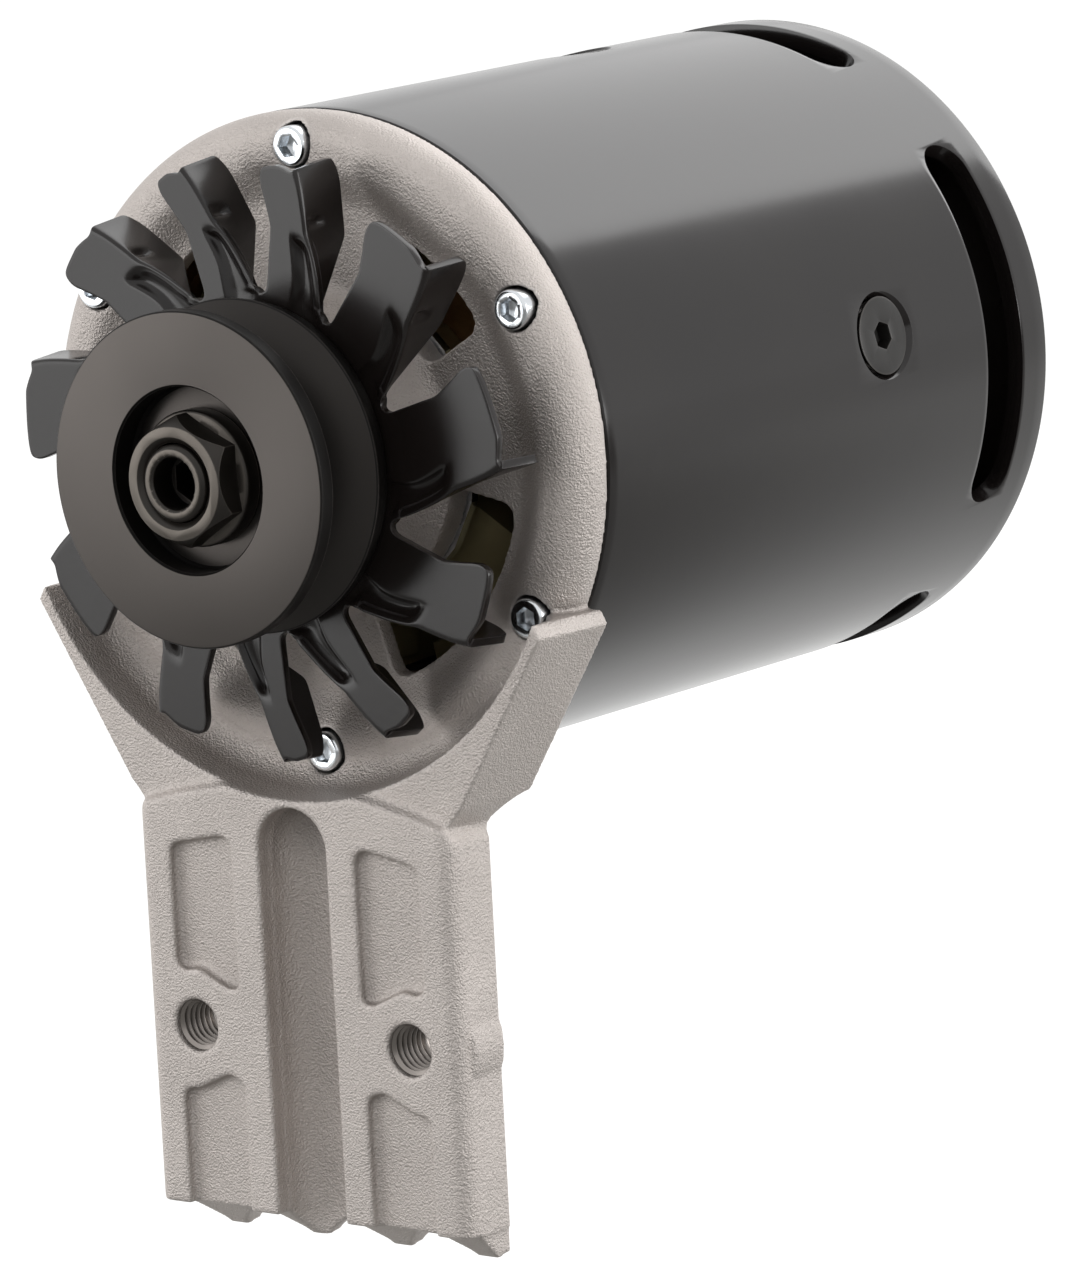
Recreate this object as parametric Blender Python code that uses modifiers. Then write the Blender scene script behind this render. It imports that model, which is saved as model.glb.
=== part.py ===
"""Alternator head of a belt driven engine generator, in metres, +Z up.

The shaft lies along Y with the pulley at -Y. The origin is the middle between the two tapped holes on
the front face of the leg. Every piece on the shaft's line hangs on one empty there, whose Y is zero at
the seam between the bracket and the case tube. Angles are measured from +X, counter-clockwise as seen
from the pulley's side.
"""

import math

import bmesh
import bpy
from mathutils import Matrix, Vector

NAME = "generator_alternator_head"

# Between pieces
GAP = 0.0003
OVERRUN = 0.003
SUNK = 0.001
SIDES_FINE = 40
SIDES = 20
SIDES_SMALL = 12
SIDES_SCREW = 8
SIDES_BALL = 8
MERGE_DISTANCE = 0.00001

# Case tube
CASE_RADIUS = 0.065
CASE_WALL = 0.0035
CASE_LENGTH = 0.1499
CASE_CHAMFER = 0.0006
RING_WIDTH = 0.0113
RING_LENGTH = 0.0085
SLOT_MIDDLE_Y = 0.1347
SLOT_HALF_HEIGHT = 0.0063
SLOT_COUNT = 4
SLOT_FIRST_DEG = 6.6
SLOT_SPAN_DEG = 68.0
SLOT_CHORDS = 7
SLOT_END_ANGLES_DEG = (20.0, 45.0, 70.0)

# Countersunk case screws
CASE_SCREW_COUNT = 4
CASE_SCREW_FIRST_DEG = 9.1
CASE_SCREW_Y = 0.09395
CASE_SCREW_HEAD_RADIUS = 0.008
CASE_SCREW_HEAD_DROP = 0.0005
CASE_SCREW_HEAD_HEIGHT = 0.0042
CASE_SCREW_RADIUS = 0.004
CASE_SCREW_NECK_RADIUS = 0.0044
CASE_SCREW_LENGTH = 0.0125
CASE_SCREW_HEX_RADIUS = 0.0029
CASE_SCREW_HEX_DEPTH = 0.003

# Bracket rim, web and boss
RIM_DEPTH = 0.009
RIM_ROUNDING = 0.006
RIM_WIDTH = 0.0085
DISH_WIDTH = 0.009
DISH_CHORDS = 4
WEB_FRONT_Y = -0.005
WEB_THICKNESS = 0.004
SPIGOT_WALL = 0.0035
SPIGOT_LENGTH = 0.004
BOSS_FACE_RADIUS = 0.0255
BOSS_FOOT_RADIUS = 0.0312
BOSS_CHAMFER = 0.0012
BOSS_LIP_RADIUS = 0.0145
BOSS_LIP = 0.002
BOSS_REAR_RADIUS = 0.0335
WINDOW_INNER_RADIUS = 0.0318
WINDOW_EDGE = 0.0005
WINDOW_CORNER_SHARE = 0.2
WINDOW_CHORDS = 5
WINDOWS_DEG = ((319.0, 60.0), (221.0, 60.0), (47.0, 30.0), (133.0, 30.0))

# Socket screws round the rim
RIM_SCREW_COUNT = 6
RIM_SCREW_FIRST_DEG = 30.0
RIM_SCREW_INSET = 0.0062
RIM_SCREW_HEAD_RADIUS = 0.0039
RIM_SCREW_HEAD_HEIGHT = 0.005
RIM_SCREW_HEAD_FRONT_Y = -0.0085
RIM_SCREW_RADIUS = 0.0025
RIM_SCREW_LENGTH = 0.011
RIM_SCREW_HEX_RADIUS = 0.0023
RIM_SCREW_HEX_DEPTH = 0.0026
COUNTERBORE_RADIUS = 0.00435

# Bracket arms and the bowl between them
ARM_FRONT_Y = -0.0196
ARM_DRAFT = 0.0021
ARM_INNER_X = 0.05
ARM_TOP_Z = -0.0285
ARM_TOP_X = 0.0598
ARM_SHOULDER_X, ARM_SHOULDER_Z = 0.0612, -0.031
ARM_ELBOW_X, ARM_ELBOW_Z = 0.0403, -0.0654
ARM_FOOT_X, ARM_FOOT_Z = 0.0367, -0.0695
BOWL_FLARE = 0.0015
BOWL_MOUTH_Y = -0.026
BOWL_FILLET = 0.0055
BOWL_FILLET_SINK = 0.0002
BOWL_HOLE_INSET = 0.0005

# Leg
LEG_FRONT_Y = -0.0214
LEG_REAR_Y = -0.0082
LEG_HALF_WIDTH = 0.0385
LEG_EDGE_RADIUS = 0.0035
LEG_BOTTOM_Z = -0.1492
LEG_TOP_Z = -0.0638
LEG_TOP_ARC_RADIUS = 0.119
LEG_TOP_ARC_HALF = 0.0367
LEG_SHOULDER_Z = -0.0725
LEG_STEP_SLOPE = 0.0014
LEG_STEP_SINK = 0.0003
REAR_FILLET = 0.0082
REAR_SHOULDER_Z = -0.0647
HOLE_X = 0.0262
HOLE_Z = -0.113
HOLE_RADIUS = 0.00515
EAR_RADIUS = 0.0133
EAR_FRONT_Y = -0.0175
GROOVE_HALF_WIDTH = 0.0083
GROOVE_WALL_DEPTH = 0.0038
GROOVE_DEPTH = 0.0102
GROOVE_TOP_Z = -0.0678
GROOVE_CHORDS = 8
GROOVE_RUN_OUT_DEGS = (0.0, 30.0, 55.0, 75.0)
POCKET_DEPTH = 0.0022
POCKET_INNER_X = 0.0152
POCKET_OUTER_X = 0.0304
POCKET_CORNER = 0.0026
UPPER_POCKET_TOP_INNER_Z = -0.0742
UPPER_POCKET_TOP_OUTER_Z = -0.077
UPPER_POCKET_FOOT_Z = -0.105
POCKET_HOLE_LAND = 0.0115
LOWER_POCKET_TOP_INNER_Z = -0.1233
LOWER_POCKET_TOP_OUTER_Z = -0.126
LIP_FRONT_Y = -0.0177
LIP_EDGE_Y = -0.0121
LIP_EDGE_Z = -0.1547
LIP_REAR_Z = -0.1537
LIP_NOTCH_COUNT = 4
LIP_NOTCH_FIRST_X = -0.036
LIP_NOTCH_SPACING = 0.0203
LIP_NOTCH_TOP_HALF_WIDTH = 0.0028
LIP_NOTCH_MOUTH_HALF_WIDTH = 0.0078
LIP_NOTCH_TOP_Z = -0.15
LIP_NOTCH_CORNER = 0.0015

# Shaft
SHAFT_END_Y = -0.0501
SHAFT_THREAD_RADIUS = 0.0074
SHAFT_RADIUS = 0.0085
SHAFT_ROTOR_RADIUS = 0.0095
SHAFT_REAR_RADIUS = 0.0075
SHAFT_TAIL_RADIUS = 0.006
SHAFT_REAR_END_Y = 0.124
SHAFT_CHAMFER = 0.0008
SOCKET_RADIUS = 0.0052
SOCKET_MOUTH_DEPTH = 0.0015
SOCKET_HEX_RADIUS = 0.0046
SOCKET_DEPTH = 0.012

# Pulley and its nut
PULLEY_RADIUS = 0.03227
PULLEY_FRONT_Y = -0.04576
PULLEY_REAR_Y = -0.02468
PULLEY_REAR_RADIUS = 0.03155
PULLEY_FRONT_LAND = 0.0036
PULLEY_REAR_LAND = 0.004
PULLEY_CHAMFER = 0.0004
GROOVE_ROOT_RADIUS = 0.0205
GROOVE_ROOT_HALF_WIDTH = 0.0026
COUNTERBORE_FLOOR_Y = -0.0399
PULLEY_COUNTERBORE_RADIUS = 0.01788
NUT_CORNER_RADIUS = 0.0127
NUT_CORNER_DEG = 36.0
NUT_FACE_RADIUS = 0.0104
NUT_FACE_Y = -0.0498
NUT_CHAMFER = 0.0007
NUT_FLANGE_RADIUS = 0.0131
NUT_FLANGE_THICKNESS = 0.0036

# Fan
FAN_FRONT_Y = -0.0243
FAN_SHEET = 0.0018
FAN_BLADES = 11
FAN_FIRST_DEG = 17.85
FAN_START_DEG = 20.0
FAN_SPREAD_DEG = 6.6
FAN_BEND_RADIUS = 0.0583
FAN_CORNER_RADIUS = 0.0565
FAN_CORNER_BACK_DEG = 20.3
FAN_KINK_RADIUS = 0.046
FAN_KINK_BACK_DEG = 4.5
FAN_APEX_RADIUS = 0.0466
FAN_APEX_BACK_DEG = 5.5
FAN_HUB_RADIUS = 0.0215
FAN_ROOT_RADIUS = 0.033
FAN_ROOT_BACK_DEG = 1.5
FAN_ROOT_HALF_WIDTH = 0.0016
FAN_FLANGE_DEPTH = 0.0097
FAN_FLANGE_TIP_RADIUS = 0.0597
FAN_FLANGE_FOOT_RADIUS = 0.048
FAN_FLAT_RADIUS = 0.028
FAN_TONGUE_SINK = 0.0012
FAN_TONGUE_EDGE = 0.0014
FAN_TIP_NOTCH = 0.0009
FAN_TIP_CHAMFER = 0.0022
FAN_BEND_ROW_SHARES = (0.55, 0.82)
FAN_SLOT_SINK_SHARES = (0.7, 0.8)
FAN_TONGUE_COLUMNS = (3, 4)
FAN_TONGUE_MIN_EDGES = 3

# Front bearing, its spacer and its retainer
BEARING_FRONT_Y = -0.013
BEARING_WIDTH = 0.014
BEARING_OUTER_RADIUS = 0.0235
BEARING_RACE_OUTER = 0.0202
BEARING_RACE_INNER = 0.0118
BALL_RADIUS = 0.0039
BALL_COUNT = 7
CAGE_HALF_WIDTH = 0.0026
CAGE_WALL = 0.0012
SPACER_RADIUS = 0.0135
RETAINER_INNER_RADIUS = 0.0205
RETAINER_OUTER_RADIUS = 0.0325
RETAINER_THICKNESS = 0.002
RETAINER_SCREW_COUNT = 3
RETAINER_SCREW_FIRST_DEG = 90.0
RETAINER_SCREW_CIRCLE_RADIUS = 0.028
RETAINER_SCREW_RADIUS = 0.0018
RETAINER_SCREW_HEAD_RADIUS = 0.0033
RETAINER_SCREW_HEAD_HEIGHT = 0.0016
RETAINER_SCREW_LENGTH = 0.0065

# Rotor
CLAW_FRONT_Y = 0.0063
ROTOR_LENGTH = 0.056
CLAW_COUNT = 6
CLAW_FIRST_DEG = 20.0
AIR_GAP = 0.0006
CLAW_PLATE_THICKNESS = 0.011
CLAW_HUB_RADIUS = 0.026
CLAW_CORE_RADIUS = 0.017
CLAW_FINGER_LENGTH = 0.047
CLAW_ROOT_HALF_WIDTH = 0.0115
CLAW_TIP_HALF_WIDTH = 0.0055
CLAW_ROOT_DEPTH = 0.0105
CLAW_TIP_DEPTH = 0.004
COIL_CLEARANCE = 0.001

# Stator
STATOR_FRONT_Y = 0.018
STATOR_LENGTH = 0.034
STATOR_WALL = 0.0146
STATOR_SLOTS = 36
SLOT_MOUTH_HALF_WIDTH = 0.0013
STATOR_BACK = 0.0047
SLOT_LIP = 0.0012
SLOT_BODY_HALF_WIDTH = 0.0022
WINDING_RISE = 0.001
WINDING_OVERHANG = 0.0085
WINDING_CROWN_DROP = 0.0025

# Rear frame
FRAME_FRONT_Y = 0.084
FRAME_RIM_LENGTH = 0.02
FRAME_RIM_WALL = 0.0075
FRAME_WEB_THICKNESS = 0.005
FRAME_BOSS_RADIUS = 0.024
FRAME_BOSS_LIP_RADIUS = 0.0125
FRAME_BOSS_LIP = 0.002
FRAME_WINDOW_INNER_RADIUS = 0.0275
FRAME_WINDOW_EDGE = 0.0107
FRAME_WINDOWS_DEG = ((0.0, 34.0), (60.0, 22.0), (120.0, 22.0), (180.0, 34.0), (240.0, 34.0), (300.0, 34.0))
POST_COUNT = 3
POST_FIRST_DEG = 30.0
POST_INSET = 0.0075
POST_RADIUS = 0.0038
REAR_BEARING_WIDTH = 0.011
REAR_BEARING_OUTER_RADIUS = 0.0175
REAR_RACE_OUTER = 0.0149
REAR_RACE_INNER = 0.0099
REAR_BALL_RADIUS = 0.0022
REAR_BALL_COUNT = 9
REAR_CAGE_HALF_WIDTH = 0.0016
REAR_CAGE_WALL = 0.0008

# Slip rings and brush gear
CARRIER_RADIUS = 0.0095
CARRIER_FRONT_Y = 0.1
CARRIER_LENGTH = 0.023
SLIP_RING_RADIUS = 0.0125
SLIP_RING_LENGTH = 0.007
SLIP_RING_PITCH = 0.012
SLIP_RING_FIRST_Y = 0.1055
HOLDER_HALF_WIDTH = 0.009
HOLDER_FRONT_Y = 0.0995
HOLDER_REAR_Y = 0.122
HOLDER_FOOT_Z = 0.0142
HOLDER_SHELF_Z = 0.0265
HOLDER_TOP_Z = 0.04
BRUSH_HALF_WIDTH = 0.0025
BRUSH_HALF_LENGTH = 0.003
BRUSH_TOP_Z = 0.0262
CHUTE_TOP_Z = 0.0372
SPRING_RADIUS = 0.0019
SPRING_WIRE_RADIUS = 0.0003
SPRING_TURNS = 5
SPRING_POINTS_PER_TURN = 8
SPRING_LEVEL_SHARE = 0.12
REGULATOR_HALF_WIDTH = 0.014
REGULATOR_HEIGHT = 0.009
REGULATOR_FRONT_Y = 0.0935
REGULATOR_FINS = 4
REGULATOR_FIN_DEPTH = 0.004
REGULATOR_FIN_THICKNESS = 0.002

# Rectifier
SINK_INNER_RADIUS = 0.0265
SINK_CLEARANCE = 0.0006
SINK_THICKNESS = 0.003
SINK_SPACE = 0.0117
SINK_FIRST_DEG, SINK_LAST_DEG = 150.0, 390.0
DIODE_RADIUS = 0.0058
DIODE_HEIGHT = 0.0045
DIODE_DEGS = (200.0, 235.0, 305.0, 340.0)
INSULATOR_DEGS = (165.0, 270.0, 375.0)
INSULATOR_RADIUS = 0.0042

# End cover, terminal and plug socket
COVER_REAR_Y = 0.1475
COVER_SHEET = 0.002
COVER_RIM_WIDTH = 0.0077
COVER_FLOOR_Y = 0.13
COVER_SCREW_HEAD_RADIUS = 0.0042
COVER_SCREW_HEAD_HEIGHT = 0.0026
COVER_SCREW_RADIUS = 0.002
COVER_SCREW_LENGTH = 0.009
STUD_DEG = 270.0
STUD_INSET = 0.00115
STUD_RADIUS = 0.004
STUD_FLANGE_RADIUS = 0.007
STUD_FLANGE_THICKNESS = 0.0025
STUD_END_Y = 0.1465
BUSH_RADIUS = 0.0068
BUSH_FLANGE_RADIUS = 0.0085
BUSH_FLANGE_THICKNESS = 0.0025
TERMINAL_NUT_RADIUS = 0.0075
TERMINAL_NUT_HEIGHT = 0.006
PLUG_HALF_WIDTH = 0.009
PLUG_FOOT_Z = 0.017
PLUG_HEIGHT = 0.013
PLUG_WALL = 0.0016
PLUG_REAR_Y = 0.1465
PLUG_RECESS = 0.01
PLUG_PIN_HALF_WIDTH = 0.0016
PLUG_PIN_SPACING = 0.0075

# Finishes: base colour, metallic, roughness
CAST_ALUMINIUM = ("cast_aluminium", (0.55, 0.53, 0.51), 0.9, 0.45)
GLOSS_BLACK = ("gloss_black_paint", (0.012, 0.012, 0.013), 0.0, 0.18)
SATIN_BLACK = ("satin_black_paint", (0.02, 0.02, 0.02), 0.0, 0.45)
BLACK_OXIDE = ("black_oxide_steel", (0.05, 0.05, 0.048), 0.8, 0.4)
ZINC_STEEL = ("zinc_plated_steel", (0.72, 0.74, 0.76), 1.0, 0.28)
BARE_STEEL = ("bare_steel", (0.45, 0.44, 0.42), 1.0, 0.35)
GOLD_VARNISH = ("gold_varnished_steel", (0.32, 0.27, 0.14), 0.6, 0.4)
ENAMELLED_WIRE = ("enamelled_wire", (0.42, 0.16, 0.06), 0.5, 0.35)
LAMINATION = ("lamination_steel", (0.1, 0.1, 0.11), 0.7, 0.5)
COPPER = ("copper", (0.75, 0.38, 0.22), 1.0, 0.3)
CARBON = ("carbon_brush", (0.03, 0.03, 0.03), 0.2, 0.6)
PLASTIC = ("black_moulding", (0.025, 0.025, 0.025), 0.0, 0.5)
PALE_INSULATOR = ("pale_insulator", (0.5, 0.47, 0.38), 0.0, 0.5)

# Places that follow from the sizes above
CASE_INNER_RADIUS = CASE_RADIUS - CASE_WALL
INSIDE_RADIUS = CASE_INNER_RADIUS - GAP
RING_INNER_RADIUS = CASE_RADIUS - RING_WIDTH
RIM_SCREW_CIRCLE_RADIUS = CASE_RADIUS - RIM_SCREW_INSET
RIM_INNER_RADIUS = CASE_RADIUS - RIM_WIDTH
WEB_OUTER_RADIUS = RIM_INNER_RADIUS - DISH_WIDTH
WINDOW_OUTER_RADIUS = WEB_OUTER_RADIUS - WINDOW_EDGE
BOWL_WALL_RADIUS = CASE_RADIUS + GAP
BOWL_MOUTH_RADIUS = BOWL_WALL_RADIUS + BOWL_FLARE
BOWL_HOLE_RADIUS = RIM_INNER_RADIUS - BOWL_HOLE_INSET
STATOR_BORE_RADIUS = INSIDE_RADIUS - STATOR_WALL
SLOT_FLOOR_RADIUS = INSIDE_RADIUS - STATOR_BACK
SLOT_LIP_RADIUS = STATOR_BORE_RADIUS + SLOT_LIP
WINDING_INNER_RADIUS = SLOT_LIP_RADIUS
WINDING_OUTER_RADIUS = SLOT_FLOOR_RADIUS + WINDING_RISE
CLAW_RADIUS = STATOR_BORE_RADIUS - AIR_GAP
COIL_RADIUS = CLAW_RADIUS - CLAW_ROOT_DEPTH - COIL_CLEARANCE
FRAME_RIM_INNER_RADIUS = INSIDE_RADIUS - FRAME_RIM_WALL
FRAME_WINDOW_OUTER_RADIUS = FRAME_RIM_INNER_RADIUS - FRAME_WINDOW_EDGE
POST_CIRCLE_RADIUS = FRAME_RIM_INNER_RADIUS - POST_INSET
SINK_OUTER_RADIUS = POST_CIRCLE_RADIUS - POST_RADIUS - SINK_CLEARANCE
DIODE_CIRCLE_RADIUS = (SINK_INNER_RADIUS + SINK_OUTER_RADIUS) / 2
STUD_CIRCLE_RADIUS = DIODE_CIRCLE_RADIUS - STUD_INSET
COVER_DISH_RADIUS = INSIDE_RADIUS - COVER_RIM_WIDTH
SHAFT_LINE = Vector((0.0, -LEG_FRONT_Y, -HOLE_Z))
BEARING_REAR_Y = BEARING_FRONT_Y + BEARING_WIDTH
BOSS_FRONT_Y = BEARING_FRONT_Y - GAP - BOSS_LIP
FAN_REAR_Y = FAN_FRONT_Y + FAN_SHEET
CLAW_REAR_Y = CLAW_FRONT_Y + ROTOR_LENGTH
STATOR_REAR_Y = STATOR_FRONT_Y + STATOR_LENGTH
FRAME_WEB_REAR_Y = FRAME_FRONT_Y + FRAME_WEB_THICKNESS
REAR_BEARING_FRONT_Y = FRAME_FRONT_Y + FRAME_BOSS_LIP + GAP
REAR_BEARING_REAR_Y = REAR_BEARING_FRONT_Y + REAR_BEARING_WIDTH
NEGATIVE_SINK_Y = FRAME_WEB_REAR_Y + GAP
POSITIVE_SINK_Y = NEGATIVE_SINK_Y + SINK_THICKNESS + SINK_SPACE
STUD_FOOT_Y = POSITIVE_SINK_Y + SINK_THICKNESS + GAP
COVER_FLOOR_REAR_Y = COVER_FLOOR_Y + COVER_SHEET


def around(angle_deg):
    """Rotation about the shaft that carries +X to this angle."""
    return Matrix.Rotation(-math.radians(angle_deg), 4, "Y")


def polar(radius, angle_deg, y=0.0):
    """Point at a radius and an angle about the shaft."""
    angle = math.radians(angle_deg)
    return Vector((radius * math.cos(angle), y, radius * math.sin(angle)))


def arc(centre, radius, start_deg, end_deg, steps):
    """Points of a flat arc, both ends included."""
    points = []
    for step in range(steps + 1):
        angle = math.radians(start_deg + (end_deg - start_deg) * step / steps)
        points.append((centre[0] + radius * math.cos(angle), centre[1] + radius * math.sin(angle)))
    return points


def rounded(corners, radius, steps=3):
    """The outline with each corner replaced by an arc, narrower where a side is short."""
    points = []
    for index, corner in enumerate(corners):
        here = Vector(corner)
        back = Vector(corners[index - 1]) - here
        ahead = Vector(corners[(index + 1) % len(corners)]) - here
        half = back.angle(ahead) / 2
        reach = min(radius / math.tan(half), back.length / 2, ahead.length / 2)
        centre = here + (back.normalized() + ahead.normalized()).normalized() * reach / math.cos(half)
        first = here + back.normalized() * reach - centre
        last = here + ahead.normalized() * reach - centre
        for step in range(steps + 1):
            share = step / steps
            turn = first.angle(last)
            weight = math.sin((1 - share) * turn), math.sin(share * turn)
            point = centre + (first * weight[0] + last * weight[1]) / math.sin(turn)
            points.append(tuple(point))
    return points


def mirrored(half):
    """A right-hand outline, top to bottom, closed by its mirror image."""
    return half + [(-x, z) for x, z in reversed(half)]


class Solids:
    """Closed shapes collected in one mesh, in the shaft's own frame."""

    def __init__(self):
        self.mesh = bmesh.new()

    def rod(self, start, end, radius, end_radius=None, sides=SIDES_SMALL, turn_deg=0.0):
        """A cylinder, cone or prism between two points."""
        run = Vector(end) - Vector(start)
        place = Matrix.Translation((Vector(start) + Vector(end)) / 2)
        place @= run.to_track_quat("Z", "Y").to_matrix().to_4x4()
        place @= Matrix.Rotation(math.radians(turn_deg), 4, "Z")
        bmesh.ops.create_cone(self.mesh, cap_ends=True, cap_tris=False, segments=sides, radius1=radius,
                              radius2=radius if end_radius is None else end_radius, depth=run.length,
                              matrix=place)

    def ball(self, centre, radius, sides=SIDES_BALL):
        """A sphere."""
        bmesh.ops.create_uvsphere(self.mesh, u_segments=sides, v_segments=sides // 2, radius=radius,
                                  matrix=Matrix.Translation(centre))

    def block(self, low, high):
        """A box between two corners."""
        low, high = Vector(low), Vector(high)
        size = Matrix.Diagonal((*(high - low), 1.0))
        bmesh.ops.create_cube(self.mesh, size=1.0, matrix=Matrix.Translation((low + high) / 2) @ size)

    def warped(self, cuts, shape):
        """A unit box, cut across its X, whose corners are carried to shape(x, y, z)."""
        box = bmesh.new()
        bmesh.ops.create_cube(box, size=1.0)
        across = [edge for edge in box.edges if abs(edge.verts[0].co.x - edge.verts[1].co.x) > 0.5]
        if cuts:
            bmesh.ops.subdivide_edges(box, edges=across, cuts=cuts)
        for vert in box.verts:
            vert.co = shape(*vert.co)
        data = bpy.data.meshes.new("warped")
        box.to_mesh(data)
        box.free()
        self.mesh.from_mesh(data)
        bpy.data.meshes.remove(data)

    def plate(self, outline, front_y, rear_y, spread=None):
        """An outline in X and Z, thickened from front to rear, its rear corners moved by spread(x, z)."""
        verts = [self.mesh.verts.new((x, front_y, z)) for x, z in outline]
        face = self.mesh.faces.new(verts)
        made = bmesh.ops.extrude_face_region(self.mesh, geom=[face], use_keep_orig=True)
        for item in made["geom"]:
            if isinstance(item, bmesh.types.BMVert):
                x, z = item.co.x, item.co.z
                moved = spread(x, z) if spread else (x, z)
                item.co = Vector((moved[0], rear_y, moved[1]))

    def bar(self, outline, left_x, right_x):
        """An outline in Y and Z, thickened across X."""
        verts = [self.mesh.verts.new((left_x, y, z)) for y, z in outline]
        face = self.mesh.faces.new(verts)
        made = bmesh.ops.extrude_face_region(self.mesh, geom=[face], use_keep_orig=True)
        for item in made["geom"]:
            if isinstance(item, bmesh.types.BMVert):
                item.co.x = right_x

    def post(self, outline, low_z, high_z):
        """An outline in X and Y, thickened up Z."""
        verts = [self.mesh.verts.new((x, y, low_z)) for x, y in outline]
        face = self.mesh.faces.new(verts)
        made = bmesh.ops.extrude_face_region(self.mesh, geom=[face], use_keep_orig=True)
        for item in made["geom"]:
            if isinstance(item, bmesh.types.BMVert):
                item.co.z = high_z

    def strip(self, sections):
        """A loft through sections with equal counts of corners, closed at both ends."""
        rings = [[self.mesh.verts.new(point) for point in section] for section in sections]
        for ring, following in zip(rings, rings[1:]):
            for corner in range(len(ring)):
                beside = (corner + 1) % len(ring)
                self.mesh.faces.new((ring[corner], ring[beside], following[beside], following[corner]))
        self.mesh.faces.new(reversed(rings[0]))
        self.mesh.faces.new(rings[-1])

    def finish(self, name):
        """The collected shapes as mesh data with their faces pointing out."""
        bmesh.ops.recalc_face_normals(self.mesh, faces=self.mesh.faces)
        data = bpy.data.meshes.new(name)
        self.mesh.to_mesh(data)
        self.mesh.free()
        return data


class Workshop:
    """The collections, the shaft's empty and the ways in which pieces are made."""

    def __init__(self):
        for obj in list(bpy.data.objects):
            bpy.data.objects.remove(obj, do_unlink=True)
        self.parts = bpy.data.collections.new(NAME)
        self.cutters = bpy.data.collections.new("cutters")
        for collection in (self.parts, self.cutters):
            bpy.context.scene.collection.children.link(collection)
        self.shaft_line = bpy.data.objects.new("shaft_line", None)
        self.shaft_line.location = SHAFT_LINE
        self.parts.objects.link(self.shaft_line)

    def material(self, finish):
        """The finish as a material, made once."""
        name, colour, metallic, roughness = finish
        found = bpy.data.materials.get(name)
        if found:
            return found
        made = bpy.data.materials.new(name)
        made.use_nodes = True
        shader = made.node_tree.nodes["Principled BSDF"]
        shader.inputs["Base Color"].default_value = (*colour, 1.0)
        shader.inputs["Metallic"].default_value = metallic
        shader.inputs["Roughness"].default_value = roughness
        made.diffuse_color = (*colour, 1.0)
        return made

    def piece(self, name, data, finish):
        """A part on the shaft's empty."""
        obj = bpy.data.objects.new(name, data)
        data.materials.append(self.material(finish))
        self.parts.objects.link(obj)
        obj.parent = self.shaft_line
        return obj

    def tool(self, name, data):
        """A shape that cuts or joins, kept out of the render."""
        obj = bpy.data.objects.new(name, data)
        self.cutters.objects.link(obj)
        obj.parent = self.shaft_line
        obj.hide_render = True
        obj.display_type = "WIRE"
        return obj

    def operate(self, obj, tool, operation="DIFFERENCE"):
        """A Boolean of the piece with a tool."""
        step = obj.modifiers.new(tool.name, "BOOLEAN")
        step.operation = operation
        step.solver = "EXACT"
        step.object = tool
        return obj

    def shaded(self, obj, angle_deg=35.0):
        """The piece shaded smooth between its sharp edges."""
        obj.data.shade_smooth()
        obj.data.set_sharp_from_angle(angle=math.radians(angle_deg))
        return obj


def turned_data(name, loop, closed=True):
    """A profile of radius and Y points as mesh data, run so that its turned shape faces out."""
    area = sum(a[0] * b[1] - b[0] * a[1] for a, b in zip(loop, loop[1:] + loop[:1]))
    if area > 0:
        loop = list(reversed(loop))
    edges = [(index, index + 1) for index in range(len(loop) - 1)]
    if closed:
        edges.append((len(loop) - 1, 0))
    data = bpy.data.meshes.new(name)
    data.from_pydata([(radius, y, 0.0) for radius, y in loop], edges, [])
    return data


def turn(obj, sides):
    """Spins a profile about the shaft."""
    step = obj.modifiers.new("turned", "SCREW")
    step.axis = "Y"
    step.steps = sides
    step.render_steps = sides
    step.use_merge_vertices = True
    step.merge_threshold = MERGE_DISTANCE
    step.use_smooth_shade = True
    return obj


def turned(shop, name, loop, finish, sides=SIDES, closed=True):
    """A turned part."""
    return turn(shop.piece(name, turned_data(name, loop, closed), finish), sides)


def turned_tool(shop, name, loop, sides=SIDES, closed=True):
    """A turned cutter or joined shape."""
    return turn(shop.tool(name, turned_data(name, loop, closed)), sides)


def tube_loop(inner, outer, front_y, rear_y, chamfer=0.0):
    """The profile of a plain tube, its outer corners chamfered."""
    if not chamfer:
        return [(inner, front_y), (outer, front_y), (outer, rear_y), (inner, rear_y)]
    return [(inner, front_y), (outer - chamfer, front_y), (outer, front_y + chamfer),
            (outer, rear_y - chamfer), (outer - chamfer, rear_y), (inner, rear_y)]


def circle_places(count, first_deg, radius, y=0.0):
    """Places spread evenly round a circle."""
    return [polar(radius, first_deg + 360.0 * index / count, y) for index in range(count)]


def windows_tool(shop, name, inner, outer, windows, front_y, rear_y):
    """The windows of a web as one cutter, each long side cut into short chords."""
    shape = Solids()
    for middle_deg, span_deg in windows:
        middle = (inner + outer) / 2
        half = math.radians(span_deg) * middle / 2
        corner = WINDOW_CORNER_SHARE * (outer - inner)
        straight = 2 * (half - corner)
        end = [(-half + corner * (1 - math.cos(math.radians(angle))),
                corner * (1 - math.sin(math.radians(angle)))) for angle in (0.0, 45.0, 90.0)]
        row = end + [(-half + corner + straight * index / WINDOW_CHORDS, 0.0)
                     for index in range(1, WINDOW_CHORDS)]
        row += [(-along, inset) for along, inset in reversed(end)]
        sections = []
        for along, inset in row:
            angle_deg = middle_deg + math.degrees(along / middle)
            low, high = inner + inset, outer - inset
            sections.append((polar(low, angle_deg, front_y), polar(high, angle_deg, front_y),
                             polar(high, angle_deg, rear_y), polar(low, angle_deg, rear_y)))
        shape.strip(sections)
    return shop.tool(name, shape.finish(name))


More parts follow.
